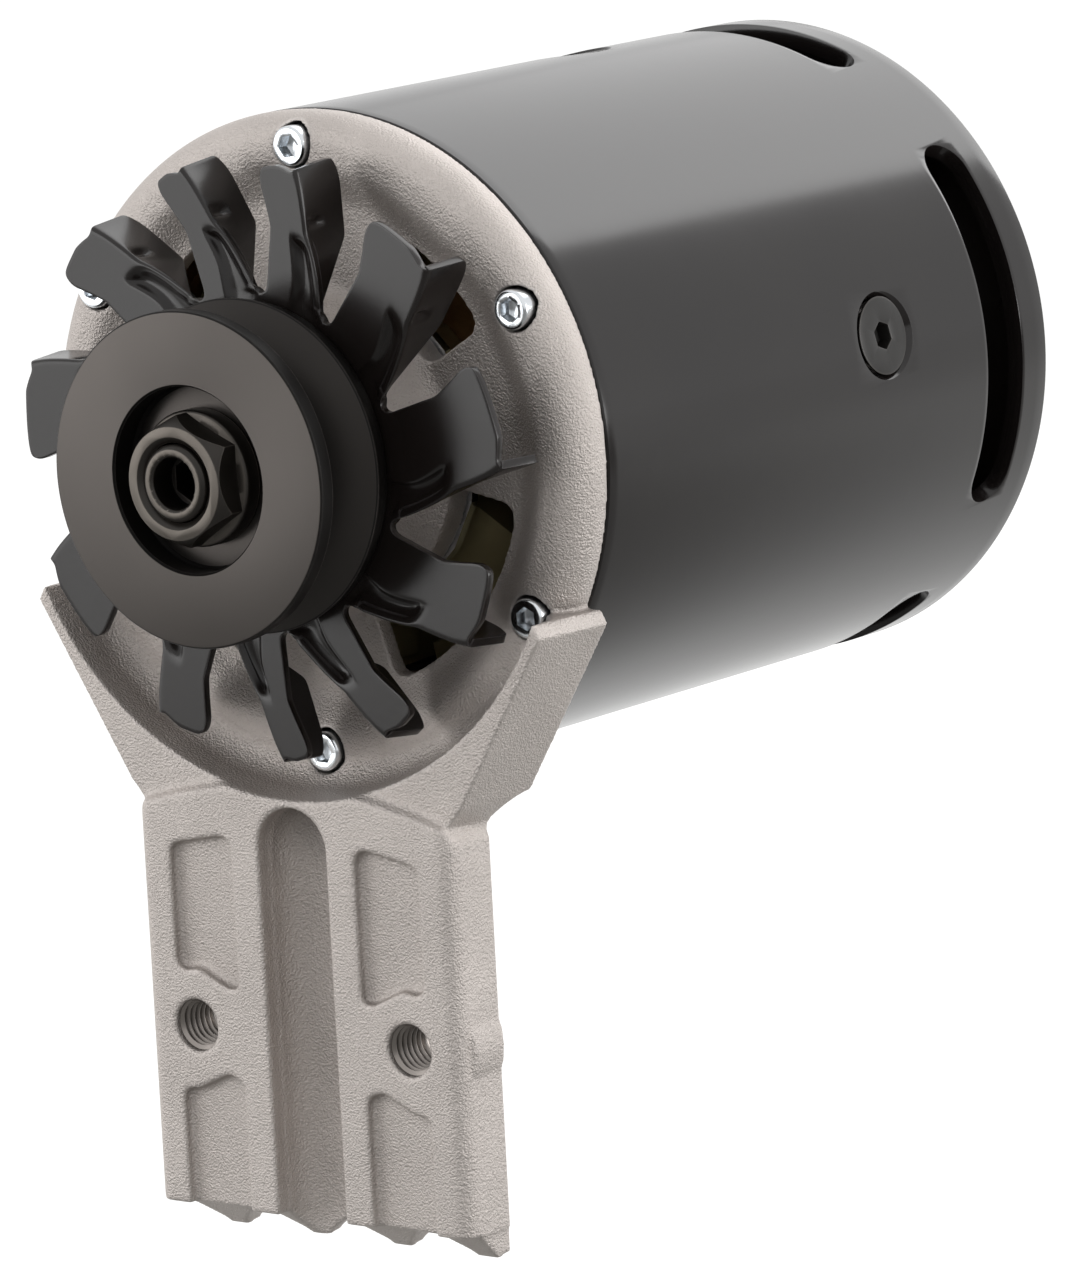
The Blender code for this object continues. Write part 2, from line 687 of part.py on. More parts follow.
def countersinks_tool(shop, name):
    """The cones that the case screws' heads seat in, through tube and frame."""
    sinks = Solids()
    middle = Vector((0.0, CASE_SCREW_Y, 0.0))
    face = CASE_RADIUS - CASE_SCREW_HEAD_DROP
    foot = face - CASE_SCREW_HEAD_HEIGHT
    slope = (CASE_SCREW_HEAD_RADIUS - CASE_SCREW_NECK_RADIUS) / CASE_SCREW_HEAD_HEIGHT
    for out in circle_places(CASE_SCREW_COUNT, CASE_SCREW_FIRST_DEG, 1.0):
        sinks.rod(middle + out * (foot - GAP), middle + out * (face + OVERRUN),
                  CASE_SCREW_NECK_RADIUS + GAP, CASE_SCREW_HEAD_RADIUS + GAP + slope * OVERRUN)
    return shop.tool(name, sinks.finish(name))


def make_case_tube(shop):
    """The tube, its welded screw ring at the front and its four arc slots."""
    loop = [(RING_INNER_RADIUS, 0.0), (CASE_RADIUS, 0.0), (CASE_RADIUS, CASE_LENGTH - CASE_CHAMFER),
            (CASE_RADIUS - CASE_CHAMFER, CASE_LENGTH), (CASE_INNER_RADIUS, CASE_LENGTH),
            (CASE_INNER_RADIUS, RING_LENGTH), (RING_INNER_RADIUS, RING_LENGTH)]
    tube = turned(shop, "case_tube", loop, GLOSS_BLACK, SIDES_FINE)
    cuts = Solids()
    half_span = math.radians(SLOT_SPAN_DEG) / 2
    end_turn = SLOT_HALF_HEIGHT / CASE_RADIUS
    for index in range(SLOT_COUNT):
        middle = math.radians(SLOT_FIRST_DEG + 360.0 * index / SLOT_COUNT)
        row = []
        for angle_deg in SLOT_END_ANGLES_DEG:
            angle = math.radians(angle_deg)
            row.append((-half_span + end_turn * (1 - math.cos(angle)), SLOT_HALF_HEIGHT * math.sin(angle)))
        inner = half_span - end_turn
        for station in range(SLOT_CHORDS + 1):
            row.append((-inner + 2 * inner * station / SLOT_CHORDS, SLOT_HALF_HEIGHT))
        row += [(-turn_by, half) for turn_by, half in reversed(row[:len(SLOT_END_ANGLES_DEG)])]
        sections = []
        for turn_by, half in row:
            angle_deg = math.degrees(middle + turn_by)
            front, rear = SLOT_MIDDLE_Y - half, SLOT_MIDDLE_Y + half
            inside, outside = CASE_INNER_RADIUS - OVERRUN, CASE_RADIUS + OVERRUN
            sections.append((polar(inside, angle_deg, front), polar(outside, angle_deg, front),
                             polar(outside, angle_deg, rear), polar(inside, angle_deg, rear)))
        cuts.strip(sections)
    shop.operate(tube, shop.tool("arc_slots", cuts.finish("arc_slots")))
    shop.operate(tube, countersinks_tool(shop, "case_countersinks"))
    threads = Solids()
    for place in circle_places(RIM_SCREW_COUNT, RIM_SCREW_FIRST_DEG, RIM_SCREW_CIRCLE_RADIUS):
        deep = RIM_SCREW_HEAD_FRONT_Y + RIM_SCREW_HEAD_HEIGHT + RIM_SCREW_LENGTH + GAP
        threads.rod(place - Vector((0.0, OVERRUN, 0.0)), place + Vector((0.0, deep, 0.0)),
                    RIM_SCREW_RADIUS + GAP, sides=SIDES_SCREW)
    shop.operate(tube, shop.tool("rim_threads", threads.finish("rim_threads")))


def make_case_screws(shop):
    """The countersunk screws that hold the rear frame."""
    for index in range(CASE_SCREW_COUNT):
        angle_deg = CASE_SCREW_FIRST_DEG + 360.0 * index / CASE_SCREW_COUNT
        out = polar(1.0, angle_deg)
        middle = Vector((0.0, CASE_SCREW_Y, 0.0))
        face = CASE_RADIUS - CASE_SCREW_HEAD_DROP
        foot = face - CASE_SCREW_HEAD_HEIGHT
        name = f"case_screw_{index + 1}"
        body = Solids()
        body.rod(middle + out * foot, middle + out * face, CASE_SCREW_NECK_RADIUS, CASE_SCREW_HEAD_RADIUS)
        screw = shop.piece(name, body.finish(name), BLACK_OXIDE)
        shank = Solids()
        shank.rod(middle + out * (face - CASE_SCREW_LENGTH), middle + out * (foot + SUNK), CASE_SCREW_RADIUS,
                  sides=SIDES_SCREW)
        shop.operate(screw, shop.tool(name + "_shank", shank.finish(name + "_shank")), "UNION")
        socket = Solids()
        socket.rod(middle + out * (face - CASE_SCREW_HEX_DEPTH), middle + out * (face + OVERRUN),
                   CASE_SCREW_HEX_RADIUS, sides=6)
        shop.operate(screw, shop.tool(name + "_hex", socket.finish(name + "_hex")))


def socket_screw(shop, name, place, head_radius, head_height, front_y, radius, length, hexagon, finish):
    """A cap screw along the shaft's direction, its head to the front."""
    ahead = Vector((0.0, 1.0, 0.0))
    head = Solids()
    head.rod(place + ahead * front_y, place + ahead * (front_y + head_height), head_radius, sides=SIDES_SMALL)
    screw = shop.piece(name, head.finish(name), finish)
    shank = Solids()
    shank.rod(place + ahead * (front_y + head_height - SUNK), place + ahead * (front_y + head_height + length),
              radius, sides=SIDES_SCREW)
    shop.operate(screw, shop.tool(name + "_shank", shank.finish(name + "_shank")), "UNION")
    socket = Solids()
    socket.rod(place + ahead * (front_y - OVERRUN), place + ahead * (front_y + hexagon[1]), hexagon[0], sides=6)
    shop.operate(screw, shop.tool(name + "_hex", socket.finish(name + "_hex")))


def make_rim_screws(shop):
    """The six bright socket screws round the bracket's rim."""
    places = circle_places(RIM_SCREW_COUNT, RIM_SCREW_FIRST_DEG, RIM_SCREW_CIRCLE_RADIUS)
    for index, place in enumerate(places):
        socket_screw(shop, f"rim_screw_{index + 1}", place, RIM_SCREW_HEAD_RADIUS, RIM_SCREW_HEAD_HEIGHT,
                     RIM_SCREW_HEAD_FRONT_Y, RIM_SCREW_RADIUS, RIM_SCREW_LENGTH,
                     (RIM_SCREW_HEX_RADIUS, RIM_SCREW_HEX_DEPTH), ZINC_STEEL)


def bracket_disc_loop():
    """The bracket's round part: rim, web, spigot and the bearing's boss."""
    spigot = RING_INNER_RADIUS - GAP
    rim_centre = (CASE_RADIUS - RIM_ROUNDING, -RIM_DEPTH + RIM_ROUNDING)
    web_rear = WEB_FRONT_Y + WEB_THICKNESS
    seat = BEARING_OUTER_RADIUS + GAP
    dish = []
    for index in range(DISH_CHORDS + 1):
        share = index / DISH_CHORDS
        ease = (1 - math.cos(math.pi * share)) / 2
        dish.append((WEB_OUTER_RADIUS + (RIM_INNER_RADIUS - WEB_OUTER_RADIUS) * share,
                     WEB_FRONT_Y + (-RIM_DEPTH - WEB_FRONT_Y) * ease))
    return [
        (BOSS_LIP_RADIUS, BOSS_FRONT_Y),
        (BOSS_FACE_RADIUS - BOSS_CHAMFER, BOSS_FRONT_Y),
        (BOSS_FACE_RADIUS, BOSS_FRONT_Y + BOSS_CHAMFER),
        (BOSS_FOOT_RADIUS, WEB_FRONT_Y),
        *dish,
        *arc(rim_centre, RIM_ROUNDING, -90.0, 0.0, 6),
        (CASE_RADIUS, -GAP),
        (spigot, -GAP),
        (spigot, SPIGOT_LENGTH),
        (spigot - SPIGOT_WALL, SPIGOT_LENGTH),
        (spigot - SPIGOT_WALL, web_rear),
        (BOSS_REAR_RADIUS, web_rear),
        (BOSS_REAR_RADIUS, BEARING_REAR_Y),
        (seat, BEARING_REAR_Y),
        (seat, BOSS_FRONT_Y + BOSS_LIP),
        (BOSS_LIP_RADIUS, BOSS_FRONT_Y + BOSS_LIP),
    ]


def arms_data():
    """The two arms as one drafted plate, before the bowl is cut between them."""
    half = [
        (ARM_INNER_X, ARM_TOP_Z),
        (ARM_TOP_X, ARM_TOP_Z),
        (ARM_SHOULDER_X, ARM_SHOULDER_Z),
        (ARM_ELBOW_X, ARM_ELBOW_Z),
        (ARM_FOOT_X, ARM_FOOT_Z),
        (ARM_FOOT_X, LEG_SHOULDER_Z - OVERRUN),
    ]

    def draft(x, z):
        if abs(x) > ARM_TOP_X - SUNK or z < ARM_SHOULDER_Z:
            return x + math.copysign(ARM_DRAFT, x), z
        return x, z

    shape = Solids()
    shape.plate(mirrored(half), ARM_FRONT_Y, -GAP, draft)
    return shape.finish("drive_end_bracket")


def leg_tool(shop):
    """The leg: a front outline with its slanted top step, rounded along its upright edges."""
    def top(x):
        drop = LEG_TOP_ARC_RADIUS - math.sqrt(LEG_TOP_ARC_RADIUS ** 2 - x * x)
        return LEG_TOP_Z - drop

    steps = 5
    half = [(LEG_TOP_ARC_HALF * step / steps, top(LEG_TOP_ARC_HALF * step / steps))
            for step in range(steps + 1)]
    half += [(LEG_HALF_WIDTH, LEG_SHOULDER_Z), (LEG_HALF_WIDTH, LEG_BOTTOM_Z)]
    outline = half + [(-x, z) for x, z in reversed(half) if x > 0]

    def lift(x, z):
        return (x, z + LEG_STEP_SLOPE) if z > LEG_SHOULDER_Z else (x, z)

    slab = Solids()
    slab.plate(outline, LEG_FRONT_Y, ARM_FRONT_Y + LEG_STEP_SINK, lift)
    cap = [face for face in slab.mesh.faces if face.calc_center_median().y > ARM_FRONT_Y]
    cap = [face for face in cap if len(face.verts) == len(outline)]
    made = bmesh.ops.extrude_face_region(slab.mesh, geom=cap)
    for item in made["geom"]:
        if isinstance(item, bmesh.types.BMVert):
            item.co.y = LEG_REAR_Y + OVERRUN
    bmesh.ops.delete(slab.mesh, geom=cap, context="FACES")
    leg = shop.tool("leg", slab.finish("leg"))
    rounding = Solids()
    edge = LEG_EDGE_RADIUS
    plan = [(LEG_HALF_WIDTH, LEG_REAR_Y + OVERRUN * 2)]
    plan += arc((LEG_HALF_WIDTH - edge, LEG_FRONT_Y + edge), edge, 0.0, -90.0, 4)
    rounding.post(mirrored(plan), LEG_BOTTOM_Z - OVERRUN, LEG_TOP_Z + OVERRUN)
    shop.operate(leg, shop.tool("leg_rounding", rounding.finish("leg_rounding")), "INTERSECT")
    return leg


def ears_tool(shop):
    """The round ears that stand out at the sides, round the tapped holes' axes."""
    ears = Solids()
    for side in (-1, 1):
        ears.rod((side * HOLE_X, EAR_FRONT_Y, HOLE_Z), (side * HOLE_X, LEG_REAR_Y + OVERRUN, HOLE_Z),
                 EAR_RADIUS, sides=SIDES)
    return shop.tool("ears", ears.finish("ears"))


def lip_tool(shop):
    """The slanted lip under the leg."""
    lip = Solids()
    lip.bar([(LIP_FRONT_Y, LEG_BOTTOM_Z + SUNK), (LIP_FRONT_Y, LEG_BOTTOM_Z), (LIP_EDGE_Y, LIP_EDGE_Z),
             (LEG_REAR_Y + OVERRUN, LIP_REAR_Z), (LEG_REAR_Y + OVERRUN, LEG_BOTTOM_Z + SUNK)],
            -LEG_HALF_WIDTH + GAP, LEG_HALF_WIDTH - GAP)
    return shop.tool("lip", lip.finish("lip"))


def bowl_tool(shop):
    """The round bowl between the arms, whose fillet runs out into the rim's face."""
    fillet_centre = (BOWL_WALL_RADIUS - BOWL_FILLET, -RIM_DEPTH - BOWL_FILLET + BOWL_FILLET_SINK)
    loop = [(0.0, BOWL_MOUTH_Y - OVERRUN), (BOWL_MOUTH_RADIUS, BOWL_MOUTH_Y - OVERRUN),
            (BOWL_MOUTH_RADIUS, BOWL_MOUTH_Y), *arc(fillet_centre, BOWL_FILLET, 0.0, 90.0, 6),
            (BOWL_HOLE_RADIUS, -RIM_DEPTH + BOWL_FILLET_SINK), (BOWL_HOLE_RADIUS, OVERRUN), (0.0, OVERRUN)]
    return turned_tool(shop, "bowl", loop, SIDES_FINE, closed=False)


def rear_step_tool(shop):
    """What is cut away behind the leg, with a fillet under the round part."""
    far = LEG_REAR_Y + REAR_FILLET
    outline = [(LEG_REAR_Y, LIP_EDGE_Z - OVERRUN)]
    outline += arc((far, REAR_SHOULDER_Z - REAR_FILLET), REAR_FILLET, 180.0, 90.0, 6)
    outline += [(far + OVERRUN, REAR_SHOULDER_Z), (far + OVERRUN, LIP_EDGE_Z - OVERRUN)]
    cut = Solids()
    reach = LEG_HALF_WIDTH + EAR_RADIUS
    cut.bar(outline, -reach, reach)
    return shop.tool("rear_step", cut.finish("rear_step"))


def leg_cuts_tool(shop):
    """The groove's straight walls and the pockets."""
    cuts = Solids()
    floor_z = LEG_BOTTOM_Z - OVERRUN
    front = LEG_FRONT_Y - OVERRUN
    arch = arc((0.0, GROOVE_TOP_Z - GROOVE_HALF_WIDTH), GROOVE_HALF_WIDTH, 180.0, 0.0, 10)
    low_z = LIP_EDGE_Z - OVERRUN
    cuts.plate([(-GROOVE_HALF_WIDTH, low_z), *arch, (GROOVE_HALF_WIDTH, low_z)], front,
               LEG_FRONT_Y + GROOVE_WALL_DEPTH)
    land = POCKET_HOLE_LAND
    rise = land * math.sin(math.radians(45.0))
    for side in (-1, 1):
        upper = [(POCKET_INNER_X, UPPER_POCKET_TOP_INNER_Z), (POCKET_OUTER_X, UPPER_POCKET_TOP_OUTER_Z),
                 (POCKET_OUTER_X, HOLE_Z + land - SUNK), (HOLE_X - SUNK, HOLE_Z + land),
                 (HOLE_X - rise, HOLE_Z + rise), (POCKET_INNER_X, UPPER_POCKET_FOOT_Z)]
        lower = [(POCKET_INNER_X, LOWER_POCKET_TOP_INNER_Z), (HOLE_X - rise + SUNK, HOLE_Z - rise - SUNK),
                 (HOLE_X, HOLE_Z - land - SUNK), (POCKET_OUTER_X, LOWER_POCKET_TOP_OUTER_Z),
                 (POCKET_OUTER_X, floor_z), (POCKET_INNER_X, floor_z)]
        for corners in (upper, lower):
            outline = [(side * x, z) for x, z in rounded(corners, POCKET_CORNER)]
            cuts.plate(outline, front, LEG_FRONT_Y + POCKET_DEPTH)
    return shop.tool("leg_cuts", cuts.finish("leg_cuts"))


def leg_channel_tool(shop):
    """The round bottom of the groove, run out at its top like the end of a spoon."""
    wall_y = LEG_FRONT_Y + GROOVE_WALL_DEPTH
    depth = GROOVE_DEPTH - GROOVE_WALL_DEPTH

    def section(z, share):
        half = (GROOVE_HALF_WIDTH - GAP) * share
        points = [(half, wall_y - SUNK), (-half, wall_y - SUNK)]
        points += [(-half * math.cos(math.pi * index / GROOVE_CHORDS),
                    wall_y + depth * share * math.sin(math.pi * index / GROOVE_CHORDS))
                   for index in range(GROOVE_CHORDS + 1)]
        return [Vector((x, y, z)) for x, y in points]

    arch_z = GROOVE_TOP_Z - GROOVE_HALF_WIDTH
    sections = [section(LIP_EDGE_Z - OVERRUN, 1.0)]
    for angle_deg in GROOVE_RUN_OUT_DEGS:
        angle = math.radians(angle_deg)
        sections.append(section(arch_z + (GROOVE_HALF_WIDTH - GAP) * math.sin(angle), math.cos(angle)))
    channel = Solids()
    channel.strip(sections)
    return shop.tool("leg_channel", channel.finish("leg_channel"))


def lip_notches_tool(shop):
    """The notches between the teeth of the lip."""
    cuts = Solids()
    for index in range(LIP_NOTCH_COUNT):
        middle = LIP_NOTCH_FIRST_X + LIP_NOTCH_SPACING * index
        top, mouth = LIP_NOTCH_TOP_HALF_WIDTH, LIP_NOTCH_MOUTH_HALF_WIDTH
        foot_z = LIP_EDGE_Z - OVERRUN
        outline = rounded([(middle - top, LIP_NOTCH_TOP_Z), (middle + top, LIP_NOTCH_TOP_Z),
                           (middle + mouth, LIP_REAR_Z), (middle + mouth, foot_z),
                           (middle - mouth, foot_z), (middle - mouth, LIP_REAR_Z)],
                          LIP_NOTCH_CORNER, 2)
        cuts.plate(outline, LIP_FRONT_Y - OVERRUN, LEG_REAR_Y + OVERRUN)
    return shop.tool("lip_notches", cuts.finish("lip_notches"))


def bracket_holes_tool(shop):
    """The counterbores and holes of the rim screws and the two tapped holes of the leg."""
    cuts = Solids()
    for place in circle_places(RIM_SCREW_COUNT, RIM_SCREW_FIRST_DEG, RIM_SCREW_CIRCLE_RADIUS):
        floor_y = RIM_SCREW_HEAD_FRONT_Y + RIM_SCREW_HEAD_HEIGHT + GAP
        cuts.rod(place + Vector((0.0, ARM_FRONT_Y - OVERRUN, 0.0)), place + Vector((0.0, floor_y, 0.0)),
                 COUNTERBORE_RADIUS)
    for side in (-1, 1):
        cuts.rod((side * HOLE_X, LEG_FRONT_Y - OVERRUN, HOLE_Z), (side * HOLE_X, LEG_REAR_Y + OVERRUN, HOLE_Z),
                 HOLE_RADIUS, sides=SIDES)
    return shop.tool("bracket_holes", cuts.finish("bracket_holes"))


def bracket_shanks_tool(shop):
    """The clearance holes for the rim screws and the tapped holes for the retainer's screws."""
    cuts = Solids()
    for place in circle_places(RIM_SCREW_COUNT, RIM_SCREW_FIRST_DEG, RIM_SCREW_CIRCLE_RADIUS):
        cuts.rod(place + Vector((0.0, -RIM_DEPTH, 0.0)), place + Vector((0.0, OVERRUN, 0.0)),
                 RIM_SCREW_RADIUS + GAP, sides=SIDES_SCREW)
    deep = BEARING_REAR_Y + GAP + RETAINER_THICKNESS + GAP - RETAINER_SCREW_LENGTH - GAP
    for place in circle_places(RETAINER_SCREW_COUNT, RETAINER_SCREW_FIRST_DEG, RETAINER_SCREW_CIRCLE_RADIUS):
        cuts.rod(place + Vector((0.0, deep, 0.0)), place + Vector((0.0, BEARING_REAR_Y + OVERRUN, 0.0)),
                 RETAINER_SCREW_RADIUS + GAP, sides=SIDES_SCREW)
    return shop.tool("bracket_shanks", cuts.finish("bracket_shanks"))


def make_bracket(shop):
    """The cast drive end bracket: round front, arms and leg in one piece."""
    bracket = shop.piece("drive_end_bracket", arms_data(), CAST_ALUMINIUM)
    shop.operate(bracket, leg_tool(shop), "UNION")
    shop.operate(bracket, ears_tool(shop), "UNION")
    shop.operate(bracket, lip_tool(shop), "UNION")
    shop.operate(bracket, bowl_tool(shop))
    shop.operate(bracket, rear_step_tool(shop))
    disc = turned_tool(shop, "bracket_disc", bracket_disc_loop(), SIDES_FINE)
    shop.operate(bracket, disc, "UNION")
    shop.operate(bracket, bracket_holes_tool(shop))
    shop.operate(bracket, bracket_shanks_tool(shop))
    shop.operate(bracket, leg_cuts_tool(shop))
    shop.operate(bracket, leg_channel_tool(shop))
    shop.operate(bracket, lip_notches_tool(shop))
    windows = windows_tool(shop, "bracket_windows", WINDOW_INNER_RADIUS, WINDOW_OUTER_RADIUS, WINDOWS_DEG,
                           WEB_FRONT_Y - OVERRUN, WEB_FRONT_Y + WEB_THICKNESS + OVERRUN)
    shop.operate(bracket, windows)
    shop.shaded(bracket)


def make_shaft(shop):
    """The shaft, with the socket that holds it while its nut is turned."""
    loop = [
        (0.0, SHAFT_END_Y),
        (SHAFT_THREAD_RADIUS - SHAFT_CHAMFER, SHAFT_END_Y),
        (SHAFT_THREAD_RADIUS, SHAFT_END_Y + SHAFT_CHAMFER),
        (SHAFT_THREAD_RADIUS, COUNTERBORE_FLOOR_Y),
        (SHAFT_RADIUS, COUNTERBORE_FLOOR_Y + SHAFT_CHAMFER),
        (SHAFT_RADIUS, BEARING_REAR_Y + GAP),
        (SHAFT_ROTOR_RADIUS, BEARING_REAR_Y + GAP),
        (SHAFT_ROTOR_RADIUS, REAR_BEARING_FRONT_Y - GAP),
        (SHAFT_REAR_RADIUS, REAR_BEARING_FRONT_Y - GAP),
        (SHAFT_REAR_RADIUS, REAR_BEARING_REAR_Y + GAP),
        (SHAFT_TAIL_RADIUS, REAR_BEARING_REAR_Y + GAP + SHAFT_CHAMFER),
        (SHAFT_TAIL_RADIUS, SHAFT_REAR_END_Y - SHAFT_CHAMFER),
        (SHAFT_TAIL_RADIUS - SHAFT_CHAMFER, SHAFT_REAR_END_Y),
        (0.0, SHAFT_REAR_END_Y),
    ]
    shaft = turned(shop, "shaft", loop, BARE_STEEL, SIDES, closed=False)
    front = Vector((0.0, SHAFT_END_Y, 0.0))
    ahead = Vector((0.0, 1.0, 0.0))
    mouth = Solids()
    mouth.rod(front - ahead * OVERRUN, front + ahead * SOCKET_MOUTH_DEPTH, SOCKET_RADIUS, sides=SIDES_SMALL)
    shop.operate(shaft, shop.tool("shaft_socket_mouth", mouth.finish("shaft_socket_mouth")))
    hexagon = Solids()
    hexagon.rod(front - ahead * OVERRUN, front + ahead * SOCKET_DEPTH, SOCKET_HEX_RADIUS, sides=6)
    shop.operate(shaft, shop.tool("shaft_socket_hex", hexagon.finish("shaft_socket_hex")))


def make_pulley(shop):
    """The single groove pulley with its counterbore for the nut."""
    bore = SHAFT_RADIUS + GAP
    groove_front = PULLEY_FRONT_Y + PULLEY_FRONT_LAND
    groove_rear = PULLEY_REAR_Y - PULLEY_REAR_LAND
    groove_middle = (groove_front + groove_rear) / 2
    chamfer = PULLEY_CHAMFER
    loop = [
        (bore, COUNTERBORE_FLOOR_Y),
        (PULLEY_COUNTERBORE_RADIUS, COUNTERBORE_FLOOR_Y),
        (PULLEY_COUNTERBORE_RADIUS, PULLEY_FRONT_Y),
        (PULLEY_RADIUS - chamfer, PULLEY_FRONT_Y),
        (PULLEY_RADIUS, PULLEY_FRONT_Y + chamfer),
        (PULLEY_RADIUS, groove_front),
        (GROOVE_ROOT_RADIUS, groove_middle - GROOVE_ROOT_HALF_WIDTH),
        (GROOVE_ROOT_RADIUS, groove_middle + GROOVE_ROOT_HALF_WIDTH),
        (PULLEY_RADIUS, groove_rear),
        (PULLEY_RADIUS, groove_rear + chamfer),
        (PULLEY_REAR_RADIUS, PULLEY_REAR_Y),
        (bore, PULLEY_REAR_Y),
    ]
    turned(shop, "pulley", loop, SATIN_BLACK, SIDES_FINE)


def make_nut(shop):
    """The flanged hexagon nut of the pulley."""
    base_y = COUNTERBORE_FLOOR_Y - GAP
    flange_y = base_y - NUT_FLANGE_THICKNESS
    flat_radius = NUT_CORNER_RADIUS * math.cos(math.radians(30.0))
    hexagon = Solids()
    hexagon.rod((0.0, NUT_FACE_Y, 0.0), (0.0, flange_y + SUNK, 0.0), NUT_CORNER_RADIUS, sides=6)
    bmesh.ops.rotate(hexagon.mesh, verts=hexagon.mesh.verts, cent=(0.0, 0.0, 0.0),
                     matrix=around(NUT_CORNER_DEG - 30.0).to_3x3())
    nut = shop.piece("pulley_nut", hexagon.finish("pulley_nut"), BLACK_OXIDE)
    cone = [(0.0, NUT_FACE_Y - SUNK), (NUT_FACE_RADIUS, NUT_FACE_Y - SUNK), (NUT_FACE_RADIUS, NUT_FACE_Y),
            (NUT_CORNER_RADIUS + SUNK, NUT_FACE_Y + NUT_CORNER_RADIUS + SUNK - flat_radius),
            (NUT_CORNER_RADIUS + SUNK, base_y), (0.0, base_y)]
    shop.operate(nut, turned_tool(shop, "nut_chamfer", cone, SIDES, closed=False), "INTERSECT")
    flange = [(0.0, flange_y), (NUT_FLANGE_RADIUS - NUT_CHAMFER, flange_y),
              (NUT_FLANGE_RADIUS, flange_y + NUT_CHAMFER), (NUT_FLANGE_RADIUS, base_y), (0.0, base_y)]
    shop.operate(nut, turned_tool(shop, "nut_flange", flange, SIDES, closed=False), "UNION")
    bore = Solids()
    bore.rod((0.0, NUT_FACE_Y - OVERRUN, 0.0), (0.0, base_y + OVERRUN, 0.0), SHAFT_THREAD_RADIUS + GAP,
             sides=SIDES)
    shop.operate(nut, shop.tool("nut_bore", bore.finish("nut_bore")))


def fan_bend_deg(index):
    """The angle of a blade's bend, spaced unevenly round the hub to spread the fan's tone."""
    even_deg = FAN_FIRST_DEG + 360.0 * index / FAN_BLADES
    return FAN_START_DEG + even_deg + FAN_SPREAD_DEG * math.sin(math.radians(2 * even_deg))


class FanBlade:
    """Rows of points across one blade of the fan, from the flat hub out to its tip."""

    def __init__(self, bend_deg, left_slot_deg, right_slot_deg, corner_deg):
        self.bend_deg = bend_deg
        self.left_slot_deg = left_slot_deg
        self.right_slot_deg = right_slot_deg
        self.corner_deg = corner_deg
        self.apex_deg = bend_deg - FAN_APEX_BACK_DEG

    def edges(self):
        """Both ends of each row, left edge and bend, as radius and angle, with its sinking share."""
        slot_radius = FAN_ROOT_RADIUS + FAN_ROOT_HALF_WIDTH
        turn_by = math.degrees(FAN_ROOT_HALF_WIDTH / FAN_ROOT_RADIUS)
        left_side = (slot_radius, self.left_slot_deg - turn_by)
        right_side = (slot_radius, self.right_slot_deg + turn_by)
        kink = (FAN_KINK_RADIUS, self.corner_deg - FAN_KINK_BACK_DEG)
        corner = (FAN_CORNER_RADIUS, self.corner_deg)
        apex = (FAN_APEX_RADIUS, self.apex_deg)
        tip = (FAN_BEND_RADIUS, self.bend_deg)
        near = 1 - FAN_TIP_CHAMFER / (FAN_BEND_RADIUS - FAN_APEX_RADIUS)
        root_sink, side_sink = FAN_SLOT_SINK_SHARES
        return [
            ((FAN_FLAT_RADIUS, self.left_slot_deg), (FAN_FLAT_RADIUS, self.right_slot_deg), 0.0),
            ((FAN_ROOT_RADIUS, self.left_slot_deg), (FAN_ROOT_RADIUS, self.right_slot_deg), root_sink),
            (left_side, right_side, side_sink),
            *((blend(left_side, kink, share), blend(right_side, apex, share), 1.0)
              for share in FAN_BEND_ROW_SHARES),
            (kink, apex, 0.0),
            (blend(kink, corner, near / 2), blend(apex, tip, near / 2), 0.0),
            (blend(kink, corner, near), blend(apex, tip, near), 0.0),
            (corner, tip, 0.0),
        ]

    def row(self, left, right, sink):
        """One row of the front sheet: edge, middle, both sides of the gusset's tongue, bend."""
        edge = math.degrees(FAN_TONGUE_EDGE / right[0])
        ridge_deg = min(self.apex_deg, right[1] + (left[1] - right[1]) / 2)
        ridge_deg = max(ridge_deg, right[1] + FAN_TONGUE_MIN_EDGES * edge)
        angles_deg = [left[1], (left[1] + ridge_deg) / 2, ridge_deg, ridge_deg - edge, right[1] + edge, right[1]]
        at_tip = FAN_BEND_RADIUS - right[0] < SUNK
        points = []
        for column, angle_deg in enumerate(angles_deg):
            share = (angle_deg - left[1]) / (right[1] - left[1])
            radius = left[0] + (right[0] - left[0]) * share
            if at_tip and column in FAN_TONGUE_COLUMNS:
                radius -= FAN_TIP_NOTCH
            if at_tip and column == 0:
                radius -= FAN_TIP_CHAMFER
            depth = FAN_TONGUE_SINK * sink if column in FAN_TONGUE_COLUMNS else 0.0
            points.append(polar(radius, angle_deg, FAN_FRONT_Y + depth))
        return points

    def rear_edge(self):
        """The flange's rear edge, one point for each row from the slot's side to the tip."""
        rear_y = FAN_FRONT_Y + FAN_FLANGE_DEPTH
        rows = self.edges()
        root = polar(*rows[2][1], FAN_FRONT_Y)
        foot = polar(FAN_FLANGE_FOOT_RADIUS, self.apex_deg, rear_y)
        tip = polar(FAN_FLANGE_TIP_RADIUS, self.bend_deg, rear_y)
        near = 1 - FAN_TIP_CHAMFER / (FAN_BEND_RADIUS - FAN_APEX_RADIUS)
        cut = Vector((0.0, -FAN_TIP_CHAMFER, 0.0))
        return [*(root.lerp(foot, share) for share in FAN_BEND_ROW_SHARES), foot, foot.lerp(tip, near / 2),
                foot.lerp(tip, near), tip + cut]


def blend(start, end, share):
    """A place between two, given as radius and angle."""
    return (start[0] + (end[0] - start[0]) * share, start[1] + (end[1] - start[1]) * share)


